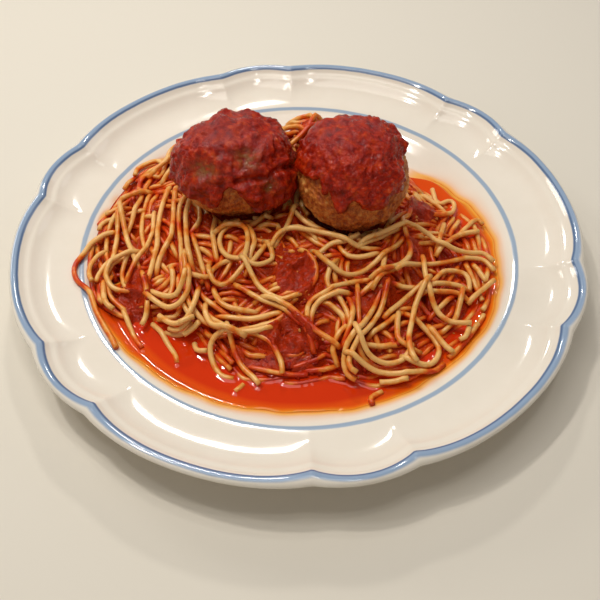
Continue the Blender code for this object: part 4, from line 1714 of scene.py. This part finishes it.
LUMPS = {  # azimuth, angle from the top, half width in degrees, extra thickness in millimetres
    "left": [
        (308, 88, 25, 3.4), (200, 55, 22, 1.4), (106, 45, 9, 2.0), (71, 46, 9, 2.4),
        (42, 55, 10, 2.8), (143, 58, 20, -1.6), (132, 16, 8, 1.6), (255, 40, 14, 1.2),
        (225, 85, 9, 1.6), (240, 72, 7, 1.4),
    ],
    "right": [
        (290, 60, 24, 1.2), (160, 45, 20, 1.0), (60, 50, 22, 1.2), (254, 80, 6, 1.2),
        (290, 78, 9, 1.0),
    ],
}
CREVICES = {  # azimuth and angle from the top, along a fold where the sauce nearly parts
    "left": [(276, 65), (283, 62), (294, 63), (306, 66), (317, 63), (328, 66), (346, 78)],
    "right": [],
}
BARE_SPOTS = {  # azimuth, angle from the top, and half sizes, all in degrees
    "left": [(240, 57, 11, 9), (290, 42, 9, 9), (304, 75, 6, 6)],
    "right": [],
}


def turned_from(a, b):
    return (a - b + 180) % 360 - 180


def towards(azimuth, down):
    side = math.sin(math.radians(down))
    turn = math.radians(azimuth)
    return Vector((side * math.cos(turn), side * math.sin(turn), math.cos(math.radians(down))))


def crevice_depth(name, direction, size):
    """How deep a crack in the sauce is at a direction, from 0 to 1."""
    knots = [towards(*knot) for knot in CREVICES[name]]
    nearest = 99.0
    for a, b in zip(knots, knots[1:]):
        share = max(0, min(1, (direction - a).dot(b - a) / (b - a).length_squared))
        nearest = min(nearest, (direction - a.lerp(b, share)).length * size)
    return math.exp(-((nearest / CREVICE_WIDTH) ** 2))


def eased_lip(knots):
    """The lip's angle each half degree, level at each knot, so that each tongue's end is round."""
    wrapped = [(knots[-1][0] - 360, knots[-1][1]), *knots, (knots[0][0] + 360, knots[0][1])]
    table = []
    for azimuth in np.arange(0, 360, 0.5):
        after = next(at for at, knot in enumerate(wrapped) if knot[0] > azimuth)
        (start, low), (end, high) = wrapped[after - 1], wrapped[after]
        table.append(low + (high - low) * smooth_step(azimuth, start, end))
    return table


lip_tables = {name: eased_lip(knots) for name, knots in LIPS.items()}


def sauce_on_ball(name, direction, place):
    """The sauce's thickness in millimetres, below nothing past its lip, and how thin it looks."""
    azimuth = math.degrees(math.atan2(direction.y, direction.x)) % 360
    down = math.degrees(math.acos(max(-1, min(1, direction.z))))
    size = sum(BALLS[name][1]) / 3
    reach = lip_tables[name][int(azimuth * 2) % 720]
    reach += 2.2 * noise.noise(direction * 7 + Vector((BALLS[name][2], 0, 0)))
    inside = math.radians(reach - down) * size
    if inside < 0:
        return -0.5 - min(1.8, -0.5 * inside), 0
    thick = SAUCE_THICKNESS
    for azimuth_at, down_at, width, extra in LUMPS[name]:
        sideways = turned_from(azimuth, azimuth_at) * math.sin(math.radians(down))
        thick += extra * math.exp(-((math.hypot(sideways, down - down_at) / width) ** 2))
    thick += 1.7 * noise.noise(place / 9) + 0.9 * noise.noise(place / 4.4)
    thick += 2.2 * max(0, noise.noise(place / 3.2 + Vector((5, 0, 0))) - 0.12)
    thick += 0.5 * noise.noise(place / 1.7) + 0.2 * noise.noise(place / 0.9)
    streams = noise.noise(Vector((azimuth / 7.0, down / 55.0, BALLS[name][2])))
    thick += 0.9 * streams * smooth_step(down, 25, 55)
    bare = 0.0
    for azimuth_at, down_at, wide, tall in BARE_SPOTS[name]:
        sideways = turned_from(azimuth, azimuth_at) * math.sin(math.radians(down)) / wide
        bare = max(bare, math.exp(-(sideways**2 + ((down - down_at) / tall) ** 2)))
    thick *= 1 - 0.62 * bare
    thick -= CREVICE_DEPTH * crevice_depth(name, direction, size) if CREVICES[name] else 0
    lipped = max(0.0, 1 - (1 - min(1, inside / LIP_WIDTH)) ** 2) ** 0.5
    return max(thick * lipped, -0.4), bare * (0.85 + 1.3 * noise.noise(place / 1.6))


# %% Pour the sauce
for name in BALLS:
    bm = bmesh.new()
    bmesh.ops.create_icosphere(bm, subdivisions=BALL_DETAIL, radius=1)
    thinness = []
    for vert in bm.verts:
        direction = vert.co.normalized()
        place = ball_surface(name, direction)
        thick, thin = sauce_on_ball(name, direction, place)
        vert.co = place + direction * thick
        thinness.append(max(0, thin))
    finish_piece(
        f"sauce_poured_{name}",
        bm,
        chunky,
        "chunky_sauce",
        f"sauce_on_{name}",
        attributes={"thin": thinness},
    )

# %% [markdown]
# ## Spoonfuls of sauce on the pasta
#
# Four spoonfuls lie on the strands. Each is a ball of sauce pressed flat, which follows the strands
# under it, with a ragged edge where it has run in between them.

# %% Press the spoonfuls
SUNK = 0.8  # how far a spoonful has sunk in between the strands
SPOONFUL_OIL = 0.22
lying = blurred(heap_top, 1.1)
for name, ((x, y), half, turn) in SPOONFULS.items():
    bm = bmesh.new()
    bmesh.ops.create_uvsphere(bm, u_segments=112, v_segments=64, radius=1)
    spin = Matrix.Rotation(math.radians(turn), 2)
    for vert in bm.verts:
        unit = vert.co.normalized()
        ragged = 1 + 0.16 * noise.noise(Vector((unit.x * 1.4, unit.y * 1.4, x / 9)))
        ragged += 0.14 * noise.noise(Vector((unit.x * 4, unit.y * 4, y / 9)))
        flat = spin @ Vector((unit.x * half[0], unit.y * half[1])) * ragged + Vector((x, y))
        cover = float(read(lying, flat.x, flat.y))
        chunk = 0.9 * noise.noise(Vector((flat.x, flat.y, 3)) / 4.0)
        chunk += 0.4 * noise.noise(Vector((flat.x, flat.y, 9)) / 1.8)
        rise = unit.z**0.8 * (half[2] + chunk * 1.3) if unit.z > 0 else unit.z * 3
        vert.co = (flat.x, flat.y, cover - SUNK + rise)
    oil = [SPOONFUL_OIL] * len(bm.verts)
    finish_piece(
        f"spoonful_{name}",
        bm,
        chunky,
        "chunky_sauce",
        f"sauce_patch_{name}",
        attributes={"oil": oil},
    )

# %% [markdown]
# ## Bits in the sauce
#
# Bits of onion and tomato from 1 to 4 mm lie all over the heap. One small ball of 80 faces,
# squashed and turned each time, stands for each, joined into one piece for each kind.

# %% Scatter the bits
onion, tree = start_material("softened_onion")
finish_material(
    tree,
    add_node(
        tree,
        "ShaderNodeBsdfPrincipled",
        inputs={
            "Base Color": linear("#D88A44"),
            "Roughness": 0.25,
            "IOR": 1.4,
            "Subsurface Weight": 0.3,
            "Subsurface Radius": (1.0, 0.5, 0.25),
            "Subsurface Scale": 0.001,
        },
    ),
)


BIT_SUNK = 0.3  # the share of its size that a bit lies deeper than the sauce
blurred_top = blurred(heap_top, 0.8)


def scatter(count, smallest, largest, least_sauce):
    """Small squashed balls on the heap, where there is at least so much sauce."""
    bm = bmesh.new()
    made = 0
    while made < count:
        angle = draw.uniform(0, 360)
        out = math.sqrt(draw.random()) * (float(heap_reach(angle)) - 4)
        x, y = out * math.cos(math.radians(angle)), out * math.sin(math.radians(angle))
        hidden_there = float(read(under_balls, x, y)) < OPEN_SKY
        if hidden_there or float(read(sauce_field, x, y)) < least_sauce:
            continue
        size = draw.uniform(smallest, largest)
        top = max(float(read(sauce_top, x, y)), float(read(blurred_top, x, y)) - 0.6)
        ball = bmesh.ops.create_icosphere(bm, subdivisions=2, radius=size / 2)
        shape = Matrix.Rotation(draw.uniform(0, math.tau), 3, "Z") @ Matrix.Diagonal(
            (draw.uniform(0.8, 1.5), draw.uniform(0.7, 1.0), draw.uniform(0.5, 0.8))
        )
        for vert in ball["verts"]:
            vert.co = shape @ vert.co * (1 + 0.6 * noise.noise(vert.co * 0.9 + Vector((x, y, 0))))
            vert.co += Vector((x, y, top - BIT_SUNK * size))
        made += 1
    return bm


finish_piece("tomato_bits", scatter(120, 1.8, 4.2, 0.6), chunky, "chunky_sauce", "spaghetti")
finish_piece("onion_bits", scatter(120, 0.9, 2.3, 0.35), onion, "chunky_sauce", "spaghetti")
